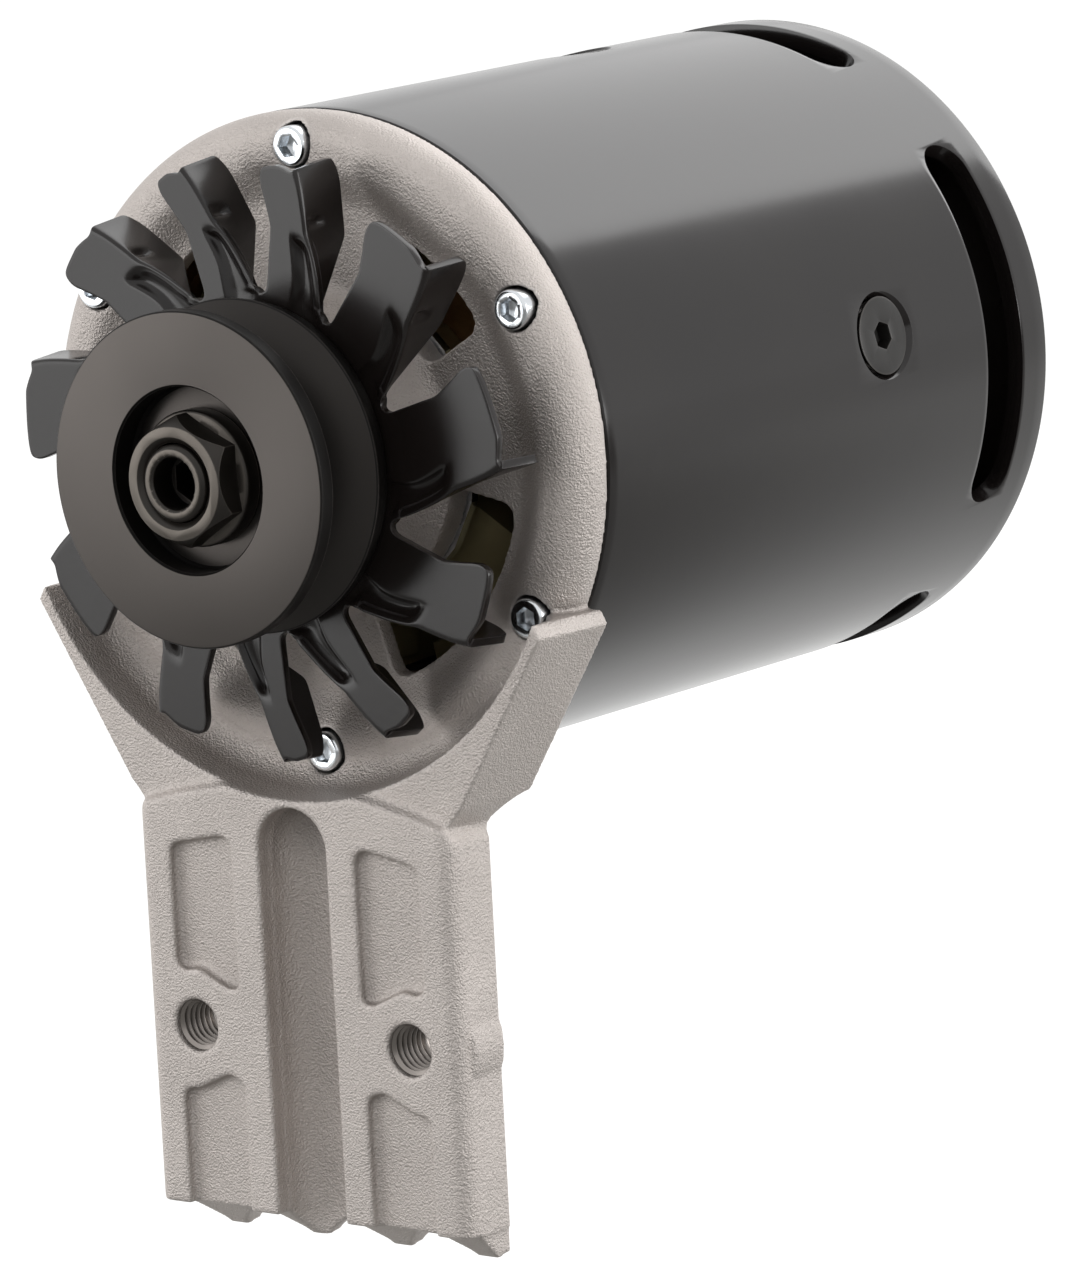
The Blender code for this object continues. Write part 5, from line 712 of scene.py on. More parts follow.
@dataclass
class CastBracket:
    """The drive end bracket: a dished round front, two arms and a leg, cast in one."""

    radius: float = 0.065
    seam: float = 0.0003
    rim_depth: float = 0.009
    rim_rounding: float = 0.0065
    rim_inner: float = 0.0565
    web_outer: float = 0.0475
    web_front: float = -0.005
    web_thickness: float = 0.004
    boss_radii: tuple[float, float, float] = (0.0145, 0.0255, 0.0312)
    boss_front: float = -0.0153
    bearing_seat: float = 0.0238
    windows_deg: tuple[Point2, ...] = ((319.0, 60.0), (221.0, 60.0), (47.0, 30.0), (133.0, 30.0))
    arm_front: float = -0.0196
    leg_front: float = -0.0214
    leg_rear: float = -0.0082
    leg_half: float = 0.0385
    leg_bottom: float = -0.1492
    shoulder: float = -0.0725
    leg_step: float = 0.0367
    leg_step_radius: float = 0.119
    leg_edge: float = 0.0035
    hole: Point2 = (0.0262, -0.113)
    hole_radius: float = 0.00515
    hole_land: float = 0.0115
    ear_radius: float = 0.0133
    ear_front: float = -0.0175
    lip_front: float = -0.0177
    lip_edge: Point2 = (-0.0121, -0.1547)
    lip_rear: float = -0.1537
    bowl_fillet: float = 0.0055
    rear_fillet: float = 0.0082
    rear_top: float = -0.0647
    spigot: float = 0.0534
    boss_rear: float = 0.0335
    screw_circle: float = 0.0588
    counterbore: float = 0.0044
    screw_hole: float = 0.0028
    groove_half: float = 0.0083
    groove_top: float = -0.0678
    groove_wall: float = 0.0038
    groove_round: float = 0.0064
    pocket_depth: float = 0.0022
    pocket_corner: float = 0.0026
    pocket_x: Point2 = (0.0152, 0.0304)
    notches: int = 4
    notch_first: float = -0.036
    notch_spacing: float = 0.0203
    window_inner: float = 0.0318
    window_outer: float = 0.047
    window_corner: float = 0.003
    thread_pitch: float = 0.0015
    thread_depth: float = 0.0008
    overrun: float = 0.003
    sides: int = 160
    voxel: float = 0.0005

    def build(self) -> None:
        """Builds the casting and the threads in its leg's two holes."""
        far = self.leg_rear + self.overrun
        forge = Forge(self._arms())
        forge.join(self._leg())
        ears = Shape()
        for place in self._hole_places():
            ears.pin(place, self.ear_front, far, self.ear_radius)
        forge.join(ears.data())
        sunk = self.leg_bottom + 0.001
        lip = [(self.lip_front, sunk), (self.lip_front, self.leg_bottom), self.lip_edge, (far, self.lip_rear),
               (far, sunk)]
        forge.join(Shape().bar(lip, self.seam - self.leg_half, self.leg_half - self.seam).data())
        forge.cut(self._bowl()).cut(self._rear_step()).join(self._disc())
        forge.cut(self._holes()).cut(self._pockets()).cut(self._channel()).cut(self._notches())
        forge.cut(self._windows()).softened(self.voxel, 5)
        set_piece("bracket_casting", forge.result(), CAST_ALUMINIUM, Body.FRAME, "drive_end_bracket",
                  sharp_deg=180.0)
        for place, label in zip(self._hole_places(), ("left", "right")):
            set_piece(f"leg_thread_{label}", self._thread(place), THREAD_ALUMINIUM, Body.FRAME,
                      slot="cast_aluminium")

    def _hole_places(self) -> list[Vector]:
        """The middles of the leg's two holes, the left one first."""
        return [Vector((side * self.hole[0], 0.0, self.hole[1])) for side in (-1, 1)]

    def _arms(self) -> Mesh:
        """Both arms as one drafted plate."""
        half = [(0.05, -0.0285), (0.0598, -0.0285), (0.0612, -0.031), (0.0403, -0.0654),
                (self.leg_step, -0.0695), (self.leg_step, self.shoulder - self.overrun)]

        def draft(x: float, z: float) -> Point2:
            """The rear corner behind a front one."""
            return (x + math.copysign(0.0021, x), z) if abs(x) > 0.0588 or z < -0.031 else (x, z)

        return Shape().plate(mirrored(half), self.arm_front, -self.seam, draft).data()

    def _leg(self) -> Mesh:
        """The leg's slab with its arched top step, rounded along its upright edges."""
        reach, radius, steps = self.leg_step, self.leg_step_radius, 24
        half = []
        for step in range(steps + 1):
            x = reach * step / steps
            half.append((x, -0.0638 - radius + math.sqrt(radius ** 2 - x * x)))
        half += [(self.leg_half, self.shoulder), (self.leg_half, self.leg_bottom)]
        outline = mirrored(half)
        lifted = [(x, z + 0.0014 if z > self.shoulder else z) for x, z in outline]
        levels = ((self.leg_front, outline), (self.arm_front + self.seam, lifted),
                  (self.leg_rear + self.overrun, lifted))
        slab = Shape().loft([[Vector((x, y, z)) for x, z in flat] for y, flat in levels])
        edge = self.leg_edge
        plan = [(self.leg_half, self.leg_rear + 2 * self.overrun)]
        plan += arc((self.leg_half - edge, self.leg_front + edge), edge, 0.0, -90.0, 12)
        rounding = Shape().post(mirrored(plan), self.leg_bottom - self.overrun, -0.06)
        return Forge(slab.data()).operate(Cut.INTERSECT, rounding.data()).result()

    def _bowl(self) -> Mesh:
        """The round space between the arms, with its fillet."""
        fillet = self.bowl_fillet
        centre = (0.0653 - fillet, -self.rim_depth - fillet + 0.0002)
        loop = [(0.0, -0.029), (0.0668, -0.029), (0.0668, -0.026), *arc(centre, fillet, 0.0, 90.0, 14),
                (0.056, -self.rim_depth + 0.0002), (0.056, 0.003), (0.0, 0.003)]
        return lathe(loop, self.sides)

    def _rear_step(self) -> Mesh:
        """What is cut away behind the leg."""
        fillet, top, foot = self.rear_fillet, self.rear_top, -0.16
        far = self.leg_rear + fillet + self.overrun
        curve = arc((self.leg_rear + fillet, top - fillet), fillet, 180.0, 90.0, 16)
        outline = [(self.leg_rear, foot), *curve, (far, top), (far, foot)]
        return Shape().bar(outline, -0.055, 0.055).data()

    def _disc(self) -> Mesh:
        """The round front: rim, dished web, spigot and bearing boss."""
        lip, face, foot = self.boss_radii
        rear = self.web_front + self.web_thickness
        spigot, boss_rear = self.spigot, self.boss_rear
        dish = [(self.web_outer + (self.rim_inner - self.web_outer) * step / 10,
                 self.web_front - (self.rim_depth + self.web_front) * ease(0.0, 10.0, step))
                for step in range(11)]
        rounding = self.rim_rounding
        loop = [(lip, self.boss_front), (face - 0.0012, self.boss_front), (face, self.boss_front + 0.0012),
                (foot - 0.0009, self.web_front - 0.0012), (foot + 0.001, self.web_front), *dish,
                *arc((self.radius - rounding, -self.rim_depth + rounding), rounding, -90.0, 0.0, 14),
                (self.radius, -self.seam), (spigot, -self.seam), (spigot, 0.004), (spigot - 0.0035, 0.004),
                (spigot - 0.0035, rear), (boss_rear, rear), (boss_rear, 0.001), (self.bearing_seat, 0.001),
                (self.bearing_seat, self.boss_front + 0.002), (lip, self.boss_front + 0.002)]
        return lathe(loop, self.sides)

    def _holes(self) -> Mesh:
        """The screws' counterbores and holes, and the leg's two holes."""
        cuts = Shape()
        for place in ring_places(6, 30.0, self.screw_circle):
            cuts.pin(place, -0.023, -0.0032, self.counterbore).pin(place, -0.0031, 0.006, self.screw_hole, 24)
        for place in self._hole_places():
            cuts.pin(place, -0.0245, -0.005, self.hole_radius)
        return cuts.data()

    def _pockets(self) -> Mesh:
        """The groove's straight walls and the four shallow pockets."""
        low, front = -0.158, self.leg_front - self.overrun
        half, land = self.groove_half, self.hole_land
        inner, outer = self.pocket_x
        arch = arc((0.0, self.groove_top - half), half, 180.0, 0.0, 32)
        cuts = Shape().plate([(-half, low), *arch, (half, low)], front, self.leg_front + self.groove_wall)
        hole_x, hole_z = self.hole
        rise = land * math.sin(math.radians(45.0))
        upper = [(inner, -0.0742), (outer, -0.077), (outer, hole_z + land - 0.001),
                 (hole_x - 0.001, hole_z + land), (hole_x - rise, hole_z + rise), (inner, -0.105)]
        lower = [(inner, -0.1233), (hole_x - rise + 0.001, hole_z - rise - 0.001),
                 (hole_x, hole_z - land - 0.001), (outer, -0.126), (outer, low), (inner, low)]
        for side in (-1, 1):
            for corners in (upper, lower):
                outline = [(side * x, z) for x, z in rounded(corners, self.pocket_corner)]
                cuts.plate(outline, front, self.leg_front + self.pocket_depth)
        return cuts.data()

    def _channel(self) -> Mesh:
        """The groove's round bottom."""
        wall = self.leg_front + self.groove_wall
        half, depth, chords = self.groove_half - self.seam, self.groove_round, 24
        arch = self.groove_top - self.groove_half
        levels = [(-0.158, 1.0)]
        levels += [(arch + half * math.sin(math.radians(angle)), math.cos(math.radians(angle)))
                   for angle in (0.0, 15.0, 30.0, 45.0, 58.0, 70.0, 80.0, 86.0)]
        sections = []
        for z, share in levels:
            outline = [(half * share, wall - 0.001), (-half * share, wall - 0.001)]
            outline += [(-half * share * math.cos(math.pi * index / chords),
                         wall + depth * share ** 0.5 * math.sin(math.pi * index / chords))
                        for index in range(chords + 1)]
            sections.append([Vector((x, y, z)) for x, y in outline])
        return Shape().loft(sections).data()

    def _notches(self) -> Mesh:
        """The notches between the lip's teeth."""
        cuts = Shape()
        corners = [(-0.0028, -0.15), (0.0028, -0.15), (0.0078, -0.1537), (0.0078, -0.158), (-0.0078, -0.158),
                   (-0.0078, -0.1537)]
        for index in range(self.notches):
            middle = self.notch_first + self.notch_spacing * index
            outline = rounded([(middle + x, z) for x, z in corners], 0.0018)
            cuts.plate(outline, -0.021, self.leg_rear + self.overrun)
        return cuts.data()

    def _windows(self) -> Mesh:
        """The cooling windows of the web."""
        cuts = Shape()
        inner, outer, corner = self.window_inner, self.window_outer, self.window_corner
        middle = (inner + outer) / 2
        for middle_deg, span_deg in self.windows_deg:
            half = math.radians(span_deg) * middle / 2
            end = [(-half + corner * (1 - math.cos(math.radians(angle))),
                    corner * (1 - math.sin(math.radians(angle)))) for angle in range(0, 91, 15)]
            row = end + [(-half + corner + 2 * (half - corner) * step / 20, 0.0) for step in range(1, 20)]
            row += [(-along, inset) for along, inset in reversed(end)]
            cuts.wedge([(middle_deg + math.degrees(along / middle), (inner + inset, outer - inset),
                         (-0.008, 0.002)) for along, inset in row])
        return cuts.data()

    def _thread(self, place: Vector) -> Mesh:
        """The thread in one of the leg's holes, as a tapering helix.

        Args:
            place: The middle of the hole.

        Returns:
            The mesh data.
        """
        pitch, steps = self.thread_pitch, 40
        start, end = self.leg_front + 0.0012, self.leg_rear - 0.0006
        turns = (end - start) / pitch
        sections = []
        count = round(turns * steps)
        for index in range(count + 1):
            share = index / count
            taper = min(1.0, 12 * share + 0.1, 12 * (1 - share) + 0.1)
            depth = self.thread_depth * taper
            angle_deg = 360.0 * turns * share
            y = start + (end - start) * share
            wide, thin = pitch * 0.44, pitch * 0.07
            ring = [(self.hole_radius + 0.0002, y - wide), (self.hole_radius - depth, y - thin),
                    (self.hole_radius - depth, y + thin), (self.hole_radius + 0.0002, y + wide)]
            sections.append([polar(radius, angle_deg, along) + place for radius, along in ring])
        return Shape().loft(sections).data()


@dataclass
class CaseTube:
    """The plain tube with its arc slots and the countersunk screws let into it."""

    radius: float = 0.065
    wall: float = 0.0035
    length: float = 0.1499
    ring_radius: float = 0.0537
    ring_length: float = 0.0085
    slot_y: float = 0.1347
    slot_half: float = 0.0063
    slot_first_deg: float = 6.6
    slot_span_deg: float = 68.0
    screw_y: float = 0.09395
    screw_first_deg: float = 9.1
    head_drop: float = 0.0005
    head_radius: float = 0.0078
    socket_radius: float = 0.0029
    sides: int = 240
    ring_places: tuple[float, ...] = (0.003, 0.025, 0.05, 0.075, 0.083, 0.105, 0.115, 0.1255, 0.1275, 0.142,
                                      0.1435, 0.146)

    def build(self) -> None:
        """Builds the tube and its four screws."""
        inner, edge = self.radius - self.wall, 0.0006
        rings = [(self.radius, y) for y in self.ring_places]
        loop = [(self.ring_radius, 0.0), (self.radius - 0.0003, 0.0), (self.radius, 0.0003), *rings,
                (self.radius, self.length - edge), *arc((self.radius - edge, self.length - edge), edge, 0.0,
                                                        90.0, 4)[1:],
                (inner + edge, self.length), (inner, self.length - edge), (inner, self.ring_length),
                (self.ring_radius, self.ring_length)]
        forge = Forge(lathe(loop, self.sides)).cut(self._slots()).cut(self._countersinks())
        forge.bevelled(0.0003)
        set_piece("case_shell", forge.result(), CASE_PAINT, Body.FRAME, "case_tube")
        for index in range(4):
            self._screw(index)

    def _slots(self) -> Mesh:
        """The four arc slots."""
        half_span = math.radians(self.slot_span_deg) / 2
        end_turn = self.slot_half / self.radius
        inner = half_span - end_turn
        ends = [math.radians(angle) for angle in (4.0, 12.0, 22.0, 34.0, 46.0, 58.0, 70.0, 80.0)]
        end = [(-half_span + end_turn * (1 - math.cos(angle)), self.slot_half * math.sin(angle))
               for angle in ends]
        row = end + [(-inner + 2 * inner * step / 36, self.slot_half) for step in range(37)]
        row += [(-along, half) for along, half in reversed(end)]
        cuts, y = Shape(), self.slot_y
        for index in range(4):
            middle = math.radians(self.slot_first_deg + 90.0 * index)
            cuts.wedge([(math.degrees(middle + along), (0.058, 0.068), (y - half, y + half))
                        for along, half in row])
        return cuts.data()

    def _countersinks(self) -> Mesh:
        """The cones for the screws' heads."""
        cuts = Shape()
        middle = Vector((0.0, self.screw_y, 0.0))
        for out in ring_places(4, self.screw_first_deg, 1.0):
            cuts.rod(middle + out * 0.0595, middle + out * 0.0675, 0.0046, 0.0046 + 0.008 * 0.86, sides=64)
        return cuts.data()

    def _screw(self, index: int) -> None:
        """One countersunk screw with its hexagon socket."""
        out = polar(1.0, self.screw_first_deg + 90.0 * index)
        face = self.radius - self.head_drop
        head = self.head_radius
        loop = [(0.0, 0.0125), (0.004, 0.0125), (0.004, 0.0042), (0.0044, 0.0042), (head, 0.0003),
                (head, 0.0), (0.0, 0.0)]
        data = lathe([(radius, -depth) for radius, depth in loop], 64)
        socket = Shape().pin(Vector(), -0.003, 0.002, self.socket_radius, 6)
        made = Forge(data).cut(socket.data()).bevelled(0.0002).result()
        turn = Vector((0.0, 1.0, 0.0)).rotation_difference(out).to_matrix().to_4x4()
        made.transform(Matrix.Translation(Vector((0.0, self.screw_y, 0.0)) + out * face) @ turn)
        name = f"case_screw_{index + 1}"
        set_piece(name + "_head", made, CASE_SCREW_BLACK, Body.FRAME, name)


@dataclass
class RimScrews:
    """The six bright socket screws round the bracket's rim."""

    circle: float = 0.0588
    head_radius: float = 0.0039
    head_height: float = 0.0064
    socket_turn_deg: float = 23.0
    front_y: float = -0.0099
    length: float = 0.011

    def build(self) -> None:
        """Builds the screws."""
        height, radius = self.head_height, self.head_radius
        loop = [(0.0, 0.0), (radius - 0.0005, 0.0), (radius - 0.0001, 0.0003), (radius, 0.0007),
                (radius, height), (0.0025, height), (0.0025, height + self.length),
                (0.0, height + self.length)]
        for index, place in enumerate(ring_places(6, 30.0, self.circle)):
            data = lathe([(across, self.front_y + along) for across, along in loop], 48)
            socket = Shape().pin(Vector(), self.front_y - 0.002, self.front_y + 0.0026, 0.0023, 6,
                                 self.socket_turn_deg * index)
            made = Forge(data).cut(socket.data()).bevelled(0.00015).result()
            made.transform(Matrix.Translation(place))
            name = f"rim_screw_{index + 1}"
            set_piece(name + "_cap", made, BRIGHT_ZINC, Body.FRAME, name)


@dataclass
class FoldedFan:
    """The sheet fan: a flat hub and blades whose bends split round a pressed gusset.

    Each blade is a cage of rows from the hub out, smoothed by subdivision.
    """

    front: float = -0.0243
    sheet: float = 0.0016
    blades: int = 11
    gap_deg: float = 18.3
    support: float = 0.0017
    bend: float = 0.0586
    corner: float = 0.0569
    kink: float = 0.046
    apex: float = 0.0466
    root: float = 0.0327
    slot_half: float = 0.0017
    hub_radii: tuple[float, ...] = (0.0088, 0.019, 0.0265, 0.029, 0.031)
    flange: float = 0.0126
    flange_tip: float = 0.06
    flange_foot: float = 0.0448
    tongue_sink: float = 0.0017
    tip_notch: float = 0.0014
    bend_rows: tuple[float, ...] = (0.14, 0.34, 0.54, 0.68, 0.79, 0.89, 1.0)
    row_sinks: tuple[float, ...] = (0.8, 0.9, 1.0, 1.0, 0.85, 0.1, 0.0)
    tip_rows: tuple[float, ...] = (0.1, 0.3, 0.52, 0.74, 1.0)

    def build(self) -> None:
        """Builds the fan as one sheet."""
        bends = [self._bend_deg(index) for index in range(self.blades)]
        bends.append(bends[0] + 360.0)
        corners = [bends[index + 1] - self.gap_deg for index in range(self.blades)]
        slots = [corner - 1.5 for corner in corners]
        slots.insert(0, slots[-1] - 360.0)
        cage = bmesh.new()
        for index in range(self.blades):
            self._blade(cage, bends[index], slots[index + 1], slots[index], corners[index])
        bmesh.ops.remove_doubles(cage, verts=cage.verts, dist=CLOSE)
        bmesh.ops.recalc_face_normals(cage, faces=cage.faces)
        flat = max(cage.faces, key=lambda item: abs(item.normal.y) * item.calc_area())
        if flat.normal.y > 0:
            bmesh.ops.reverse_faces(cage, faces=cage.faces)
        data = bpy.data.meshes.new("fan_cage")
        cage.to_mesh(data)
        cage.free()
        smooth = Forge(data).modify("SUBSURF", levels=2, render_levels=2, boundary_smooth="ALL").result()
        self._press_dimples(smooth, bends)
        forge = Forge(smooth).modify("SOLIDIFY", thickness=self.sheet, offset=-1.0)
        forge.bevelled(0.00022, angle_deg=55.0)
        set_piece("fan_folded_sheet", forge.result(), SHEET_PAINT, Body.ROTOR, "fan", sharp_deg=45.0)

    @staticmethod
    def _bend_deg(index: int) -> float:
        """The angle of a blade's bend, spaced unevenly to spread the fan's tone."""
        even_deg = 17.85 + 360.0 * index / 11
        return 20.0 + even_deg + 6.6 * math.sin(math.radians(2 * even_deg))

    def _blade(self, cage: bmesh.types.BMesh, bend_deg: float, left_deg: float, right_deg: float,
               corner_deg: float) -> None:
        """Adds one blade's cage: flat hub, gusset, bend and flange.

        Args:
            cage: The mesh that collects the blades.
            bend_deg: The angle of the blade's bend at its tip.
            left_deg: The angle of the slot after the blade.
            right_deg: The angle of the slot before it.
            corner_deg: The angle of its free corner.
        """
        rows = [[*self._front_row((radius, left_deg), (radius, right_deg), bend_deg, sink, 0.0)]
                for radius, sink in zip((*self.hub_radii, self.root), (0.0, 0.0, 0.0, 0.2, 0.7, 0.8))]
        middle = self.root + self.slot_half
        edges = []
        for angle in (48.0, 90.0):
            radius = middle - self.slot_half * math.cos(math.radians(angle))
            turn = math.degrees(self.slot_half * math.sin(math.radians(angle)) / radius)
            edges.append(((radius, left_deg - turn), (radius, right_deg + turn)))
        rows += [[*self._front_row(left, right, bend_deg, 0.8, 0.0)] for left, right in edges]
        left_side, right_side = edges[-1]
        apex_deg = bend_deg - 5.5
        kink, apex = (self.kink, corner_deg - 4.5), (self.apex, apex_deg)
        rear_y = self.front + self.flange
        root = polar(*right_side, self.front)
        foot = polar(self.flange_foot, apex_deg, rear_y)
        tip = polar(self.flange_tip, bend_deg, rear_y)
        for share, sink in zip(self.bend_rows, self.row_sinks):
            left, right = blend(left_side, kink, share), blend(right_side, apex, share)
            row = self._front_row(left, right, bend_deg, sink, 0.0)
            rows.append(row + self._flange_row(row[-1], root.lerp(foot, share)))
        corner, end = (self.corner, corner_deg), (self.bend, bend_deg)
        for share in self.tip_rows:
            left, right = blend(kink, corner, share), blend(apex, end, share)
            row = self._front_row(left, right, bend_deg, 0.0, self.tip_notch if share == 1.0 else 0.0)
            rear = foot.lerp(tip, share)
            if share == 1.0:
                rear -= Vector((0.0, self.support, 0.0)) + (tip - foot).normalized() * self.support * 0.5
            rows.append(row + self._flange_row(row[-1], rear))
        for inner, outer in zip(rows, rows[1:]):
            for column in range(len(outer) - 1):
                corners = [row[min(place, len(row) - 1)] for row, place in
                           ((inner, column), (inner, column + 1), (outer, column + 1), (outer, column))]
                unique = []
                for point in corners:
                    if all((point - other).length > CLOSE for other in unique):
                        unique.append(point)
                cage.faces.new([cage.verts.new(point) for point in unique])

    def _front_row(self, left: Point2, right: Point2, bend_deg: float, sink: float,
                   notch: float) -> list[Vector]:
        """One row of the flat and the gusset, from the left edge to the bend.

        Args:
            left: The left edge, as radius and angle.
            right: The bend, as radius and angle.
            bend_deg: The angle of the blade's tip.
            sink: The share of the gusset's depth.
            notch: How far the tip dips beside the bend.

        Returns:
            The row's nine points.
        """
        wide = math.radians(left[1] - right[1]) * right[0]
        step = min(self.support, wide / 7.5)
        ridge = max(math.radians(bend_deg - 5.1 - right[1]) * right[0], 3.6 * step)
        ridge = min(ridge, wide - 2.4 * step)
        outer = wide - 1.3 * step
        across = [wide, outer, (outer + ridge + 0.45 * step) / 2, ridge + 0.45 * step, ridge,
                  ridge - 0.45 * step, min(1.9 * step, ridge - 1.2 * step), 0.9 * step, 0.0]
        depths = [0.0, 0.0, 0.0, 0.0, 0.0, 1.0, 1.0, 0.15, 0.0]
        dips = [0.0, 0.0, 0.0, 0.0, 0.0, 0.1, 0.5, 1.0, 0.4]
        if notch:
            across[0] -= 0.9 * step
            dips[0] = 0.8
        points = []
        for along, depth, dip in zip(across, depths, dips):
            radius = right[0] + (left[0] - right[0]) * along / wide - notch * dip
            points.append(polar(radius, right[1] + math.degrees(along / right[0]),
                                self.front + self.tongue_sink * depth * sink))
        return points

    def _flange_row(self, corner: Vector, rear: Vector) -> list[Vector]:
        """One row of the flange behind the bend."""
        length = (rear - corner).length
        near = min(self.support * 0.9, length * 0.3) / length
        return [corner.lerp(rear, share) for share in (near, 0.5, 1.0 - near, 1.0)]

    def _press_dimples(self, sheet: Mesh, bends: Sequence[float]) -> None:
        """Presses the short crease into each flange beside the gusset's head.

        Args:
            sheet: The fan's smoothed sheet.
            bends: The angles of the blades' bends.
        """
        for bend_deg in bends[:self.blades]:
            apex = polar(self.apex + 0.0018, bend_deg - 4.6, self.front)
            outward = polar(1.0, bend_deg - 75.0)
            along = polar(1.0, bend_deg + 15.0)
            for vert in sheet.vertices:
                away = vert.co - apex
                if away.length > 0.012 or away.y < 0.0006:
                    continue
                reach = away.dot(along)
                shape = math.exp(-(reach / 0.0009) ** 2)
                shape *= ease(0.0008, 0.002, away.y) * (1 - ease(0.005, 0.0064, away.y))
                vert.co -= outward * (0.0009 * shape)


@dataclass
class GroovedPulley:
    """The single groove pulley, turned all over."""

    radius: float = 0.03227
    front: float = -0.04576
    rear: float = -0.02468
    bore: float = 0.0088
    counterbore: float = 0.01788
    floor: float = -0.0399
    root: float = 0.0205
    front_land: float = 0.0036
    rear_land: float = 0.004
    edge: float = 0.0005
    sides: int = 192

    def build(self) -> None:
        """Builds the pulley."""
        front, rear, edge, root = self.front, self.rear, self.edge, self.root
        lands = (front + self.front_land, rear - self.rear_land)
        middle = (lands[0] + lands[1]) / 2
        loop = [(self.bore, self.floor), (self.counterbore - 0.0006, self.floor),
                (self.counterbore, self.floor - 0.0006), (self.counterbore, front + edge),
                (self.counterbore + 0.0004, front), (self.radius - edge, front),
                *arc((self.radius - edge, front + edge), edge, -90.0, 0.0, 5)[1:],
                (self.radius, lands[0] - 0.0002), (self.radius - 0.0003, lands[0] + 0.0001),
                (root + edge, middle - 0.0026), (root, middle - 0.0021), (root, middle + 0.0021),
                (root + edge, middle + 0.0026), (self.radius - 0.0003, lands[1] - 0.0001),
                (self.radius, lands[1] + 0.0002), (self.radius, lands[1] + edge), (0.03155, rear - 0.0004),
                (0.0312, rear), (self.bore, rear)]
        data = lathe(loop, self.sides)
        set_piece("pulley_turned", data, PULLEY_BLACK, Body.ROTOR, "pulley", sharp_deg=30.0)


@dataclass
class NutAndShaft:
    """The flanged nut on the shaft's end and the shaft with its socket."""

    face: float = -0.0498
    base: float = -0.0402
    flange: float = -0.0438
    corner_radius: float = 0.0127
    corner_deg: float = 34.0
    face_radius: float = 0.0108
    flange_radius: float = 0.0131
    thread_radius: float = 0.0074
    shaft_end: float = -0.0501
    sides: int = 128

    def build(self) -> None:
        """Builds both."""
        self._nut()
        self._shaft()

    def _nut(self) -> None:
        """The hexagon with its chamfered corners, its flange and its countersunk bore."""
        corner, sides = self.corner_radius, self.sides
        prism = Shape().loft([[polar(corner, self.corner_deg + 60.0 * side, y) for side in range(6)]
                              for y in (self.face, self.flange + 0.001)])
        drop = (corner + 0.001 - self.face_radius) * 1.6
        cone = [(0.0, self.face - 0.001), (self.face_radius, self.face - 0.001),
                (self.face_radius, self.face), (corner + 0.001, self.face + drop),
                (corner + 0.001, self.base), (0.0, self.base)]
        edge = 0.0007
        flange = [(0.0, self.flange - 0.0003), (corner - 0.0014, self.flange - 0.0003),
                  *arc((self.flange_radius - edge, self.flange + edge), edge, -75.0, 0.0, 6),
                  (self.flange_radius, self.base), (0.0, self.base)]
        inside = self.thread_radius + 0.0003
        bore = [(0.0, self.face - 0.002), (0.0092, self.face - 0.002), (0.0092, self.face - 0.0003),
                (inside, self.face + 0.0011), (inside, self.base + 0.002), (0.0, self.base + 0.002)]
        forge = Forge(prism.data()).operate(Cut.INTERSECT, lathe(cone, sides))
        forge.join(lathe(flange, sides)).cut(lathe(bore, sides)).bevelled(0.0003, 3, 25.0)
        set_piece("nut_flanged", forge.result(), OXIDE_STEEL, Body.ROTOR, "pulley_nut", sharp_deg=30.0)

    def _shaft(self) -> None:
        """The shaft: threaded end with its socket, bearing seats, rotor seat and tail."""
        edge, end = 0.0008, self.shaft_end
        loop = [(0.0, end), (self.thread_radius - edge, end), (self.thread_radius, end + edge),
                (self.thread_radius, -0.0399), (0.0085, -0.0391), (0.0085, 0.0013), (0.0095, 0.0013),
                (0.0095, 0.086), (0.0075, 0.086), (0.0075, 0.0976), (0.006, 0.0984), (0.006, 0.124 - edge),
                (0.006 - edge, 0.124), (0.0, 0.124)]
        mouth = lathe([(0.0, end - 0.001), (0.0055, end - 0.001), (0.0055, end), (0.005, end + 0.0005),
                       (0.005, end + 0.006), (0.0, end + 0.006)], 96)
        socket = Shape().pin(Vector(), end - 0.001, end + 0.012, 0.0046, 6)
        forge = Forge(lathe(loop, 96)).cut(mouth).cut(socket.data()).bevelled(0.0002, 2, 30.0)
        set_piece("shaft_turned", forge.result(), OXIDE_STEEL, Body.ROTOR, "shaft", sharp_deg=30.0)


@dataclass
class PhotoCamera:
    """The camera that took the photograph, in the model's frame."""

    place: Vector = field(default_factory=lambda: Vector((0.9666, -1.18702, 0.350634)))
    ahead: Vector = field(default_factory=lambda: Vector((-0.59622, 0.78314, -0.17665)))
    roll_deg: float = 3.006
    focal_mm: float = 229.41
    sensor_mm: float = 36.0

    def build(self) -> bpy.types.Object:
        """Creates the camera and makes it the scene's.

        Returns:
            The camera object.
        """
        data = bpy.data.cameras.new("photo_camera")
        data.lens = self.focal_mm
        data.sensor_width = self.sensor_mm
        data.sensor_fit = "AUTO"
        data.clip_end = 50.0
        ahead = self.ahead.normalized()
        level_right = ahead.cross(Vector((0.0, 0.0, 1.0))).normalized()
        level_up = level_right.cross(ahead)
        roll = math.radians(self.roll_deg)
        right = level_right * math.cos(roll) - level_up * math.sin(roll)
        up = right.cross(ahead)
        turn = Matrix((right, up, -ahead)).transposed().to_4x4()
        camera = linked("photo_camera", data)
        camera.matrix_world = Matrix.Translation(self.place) @ turn
        bpy.context.scene.camera = camera
        return camera


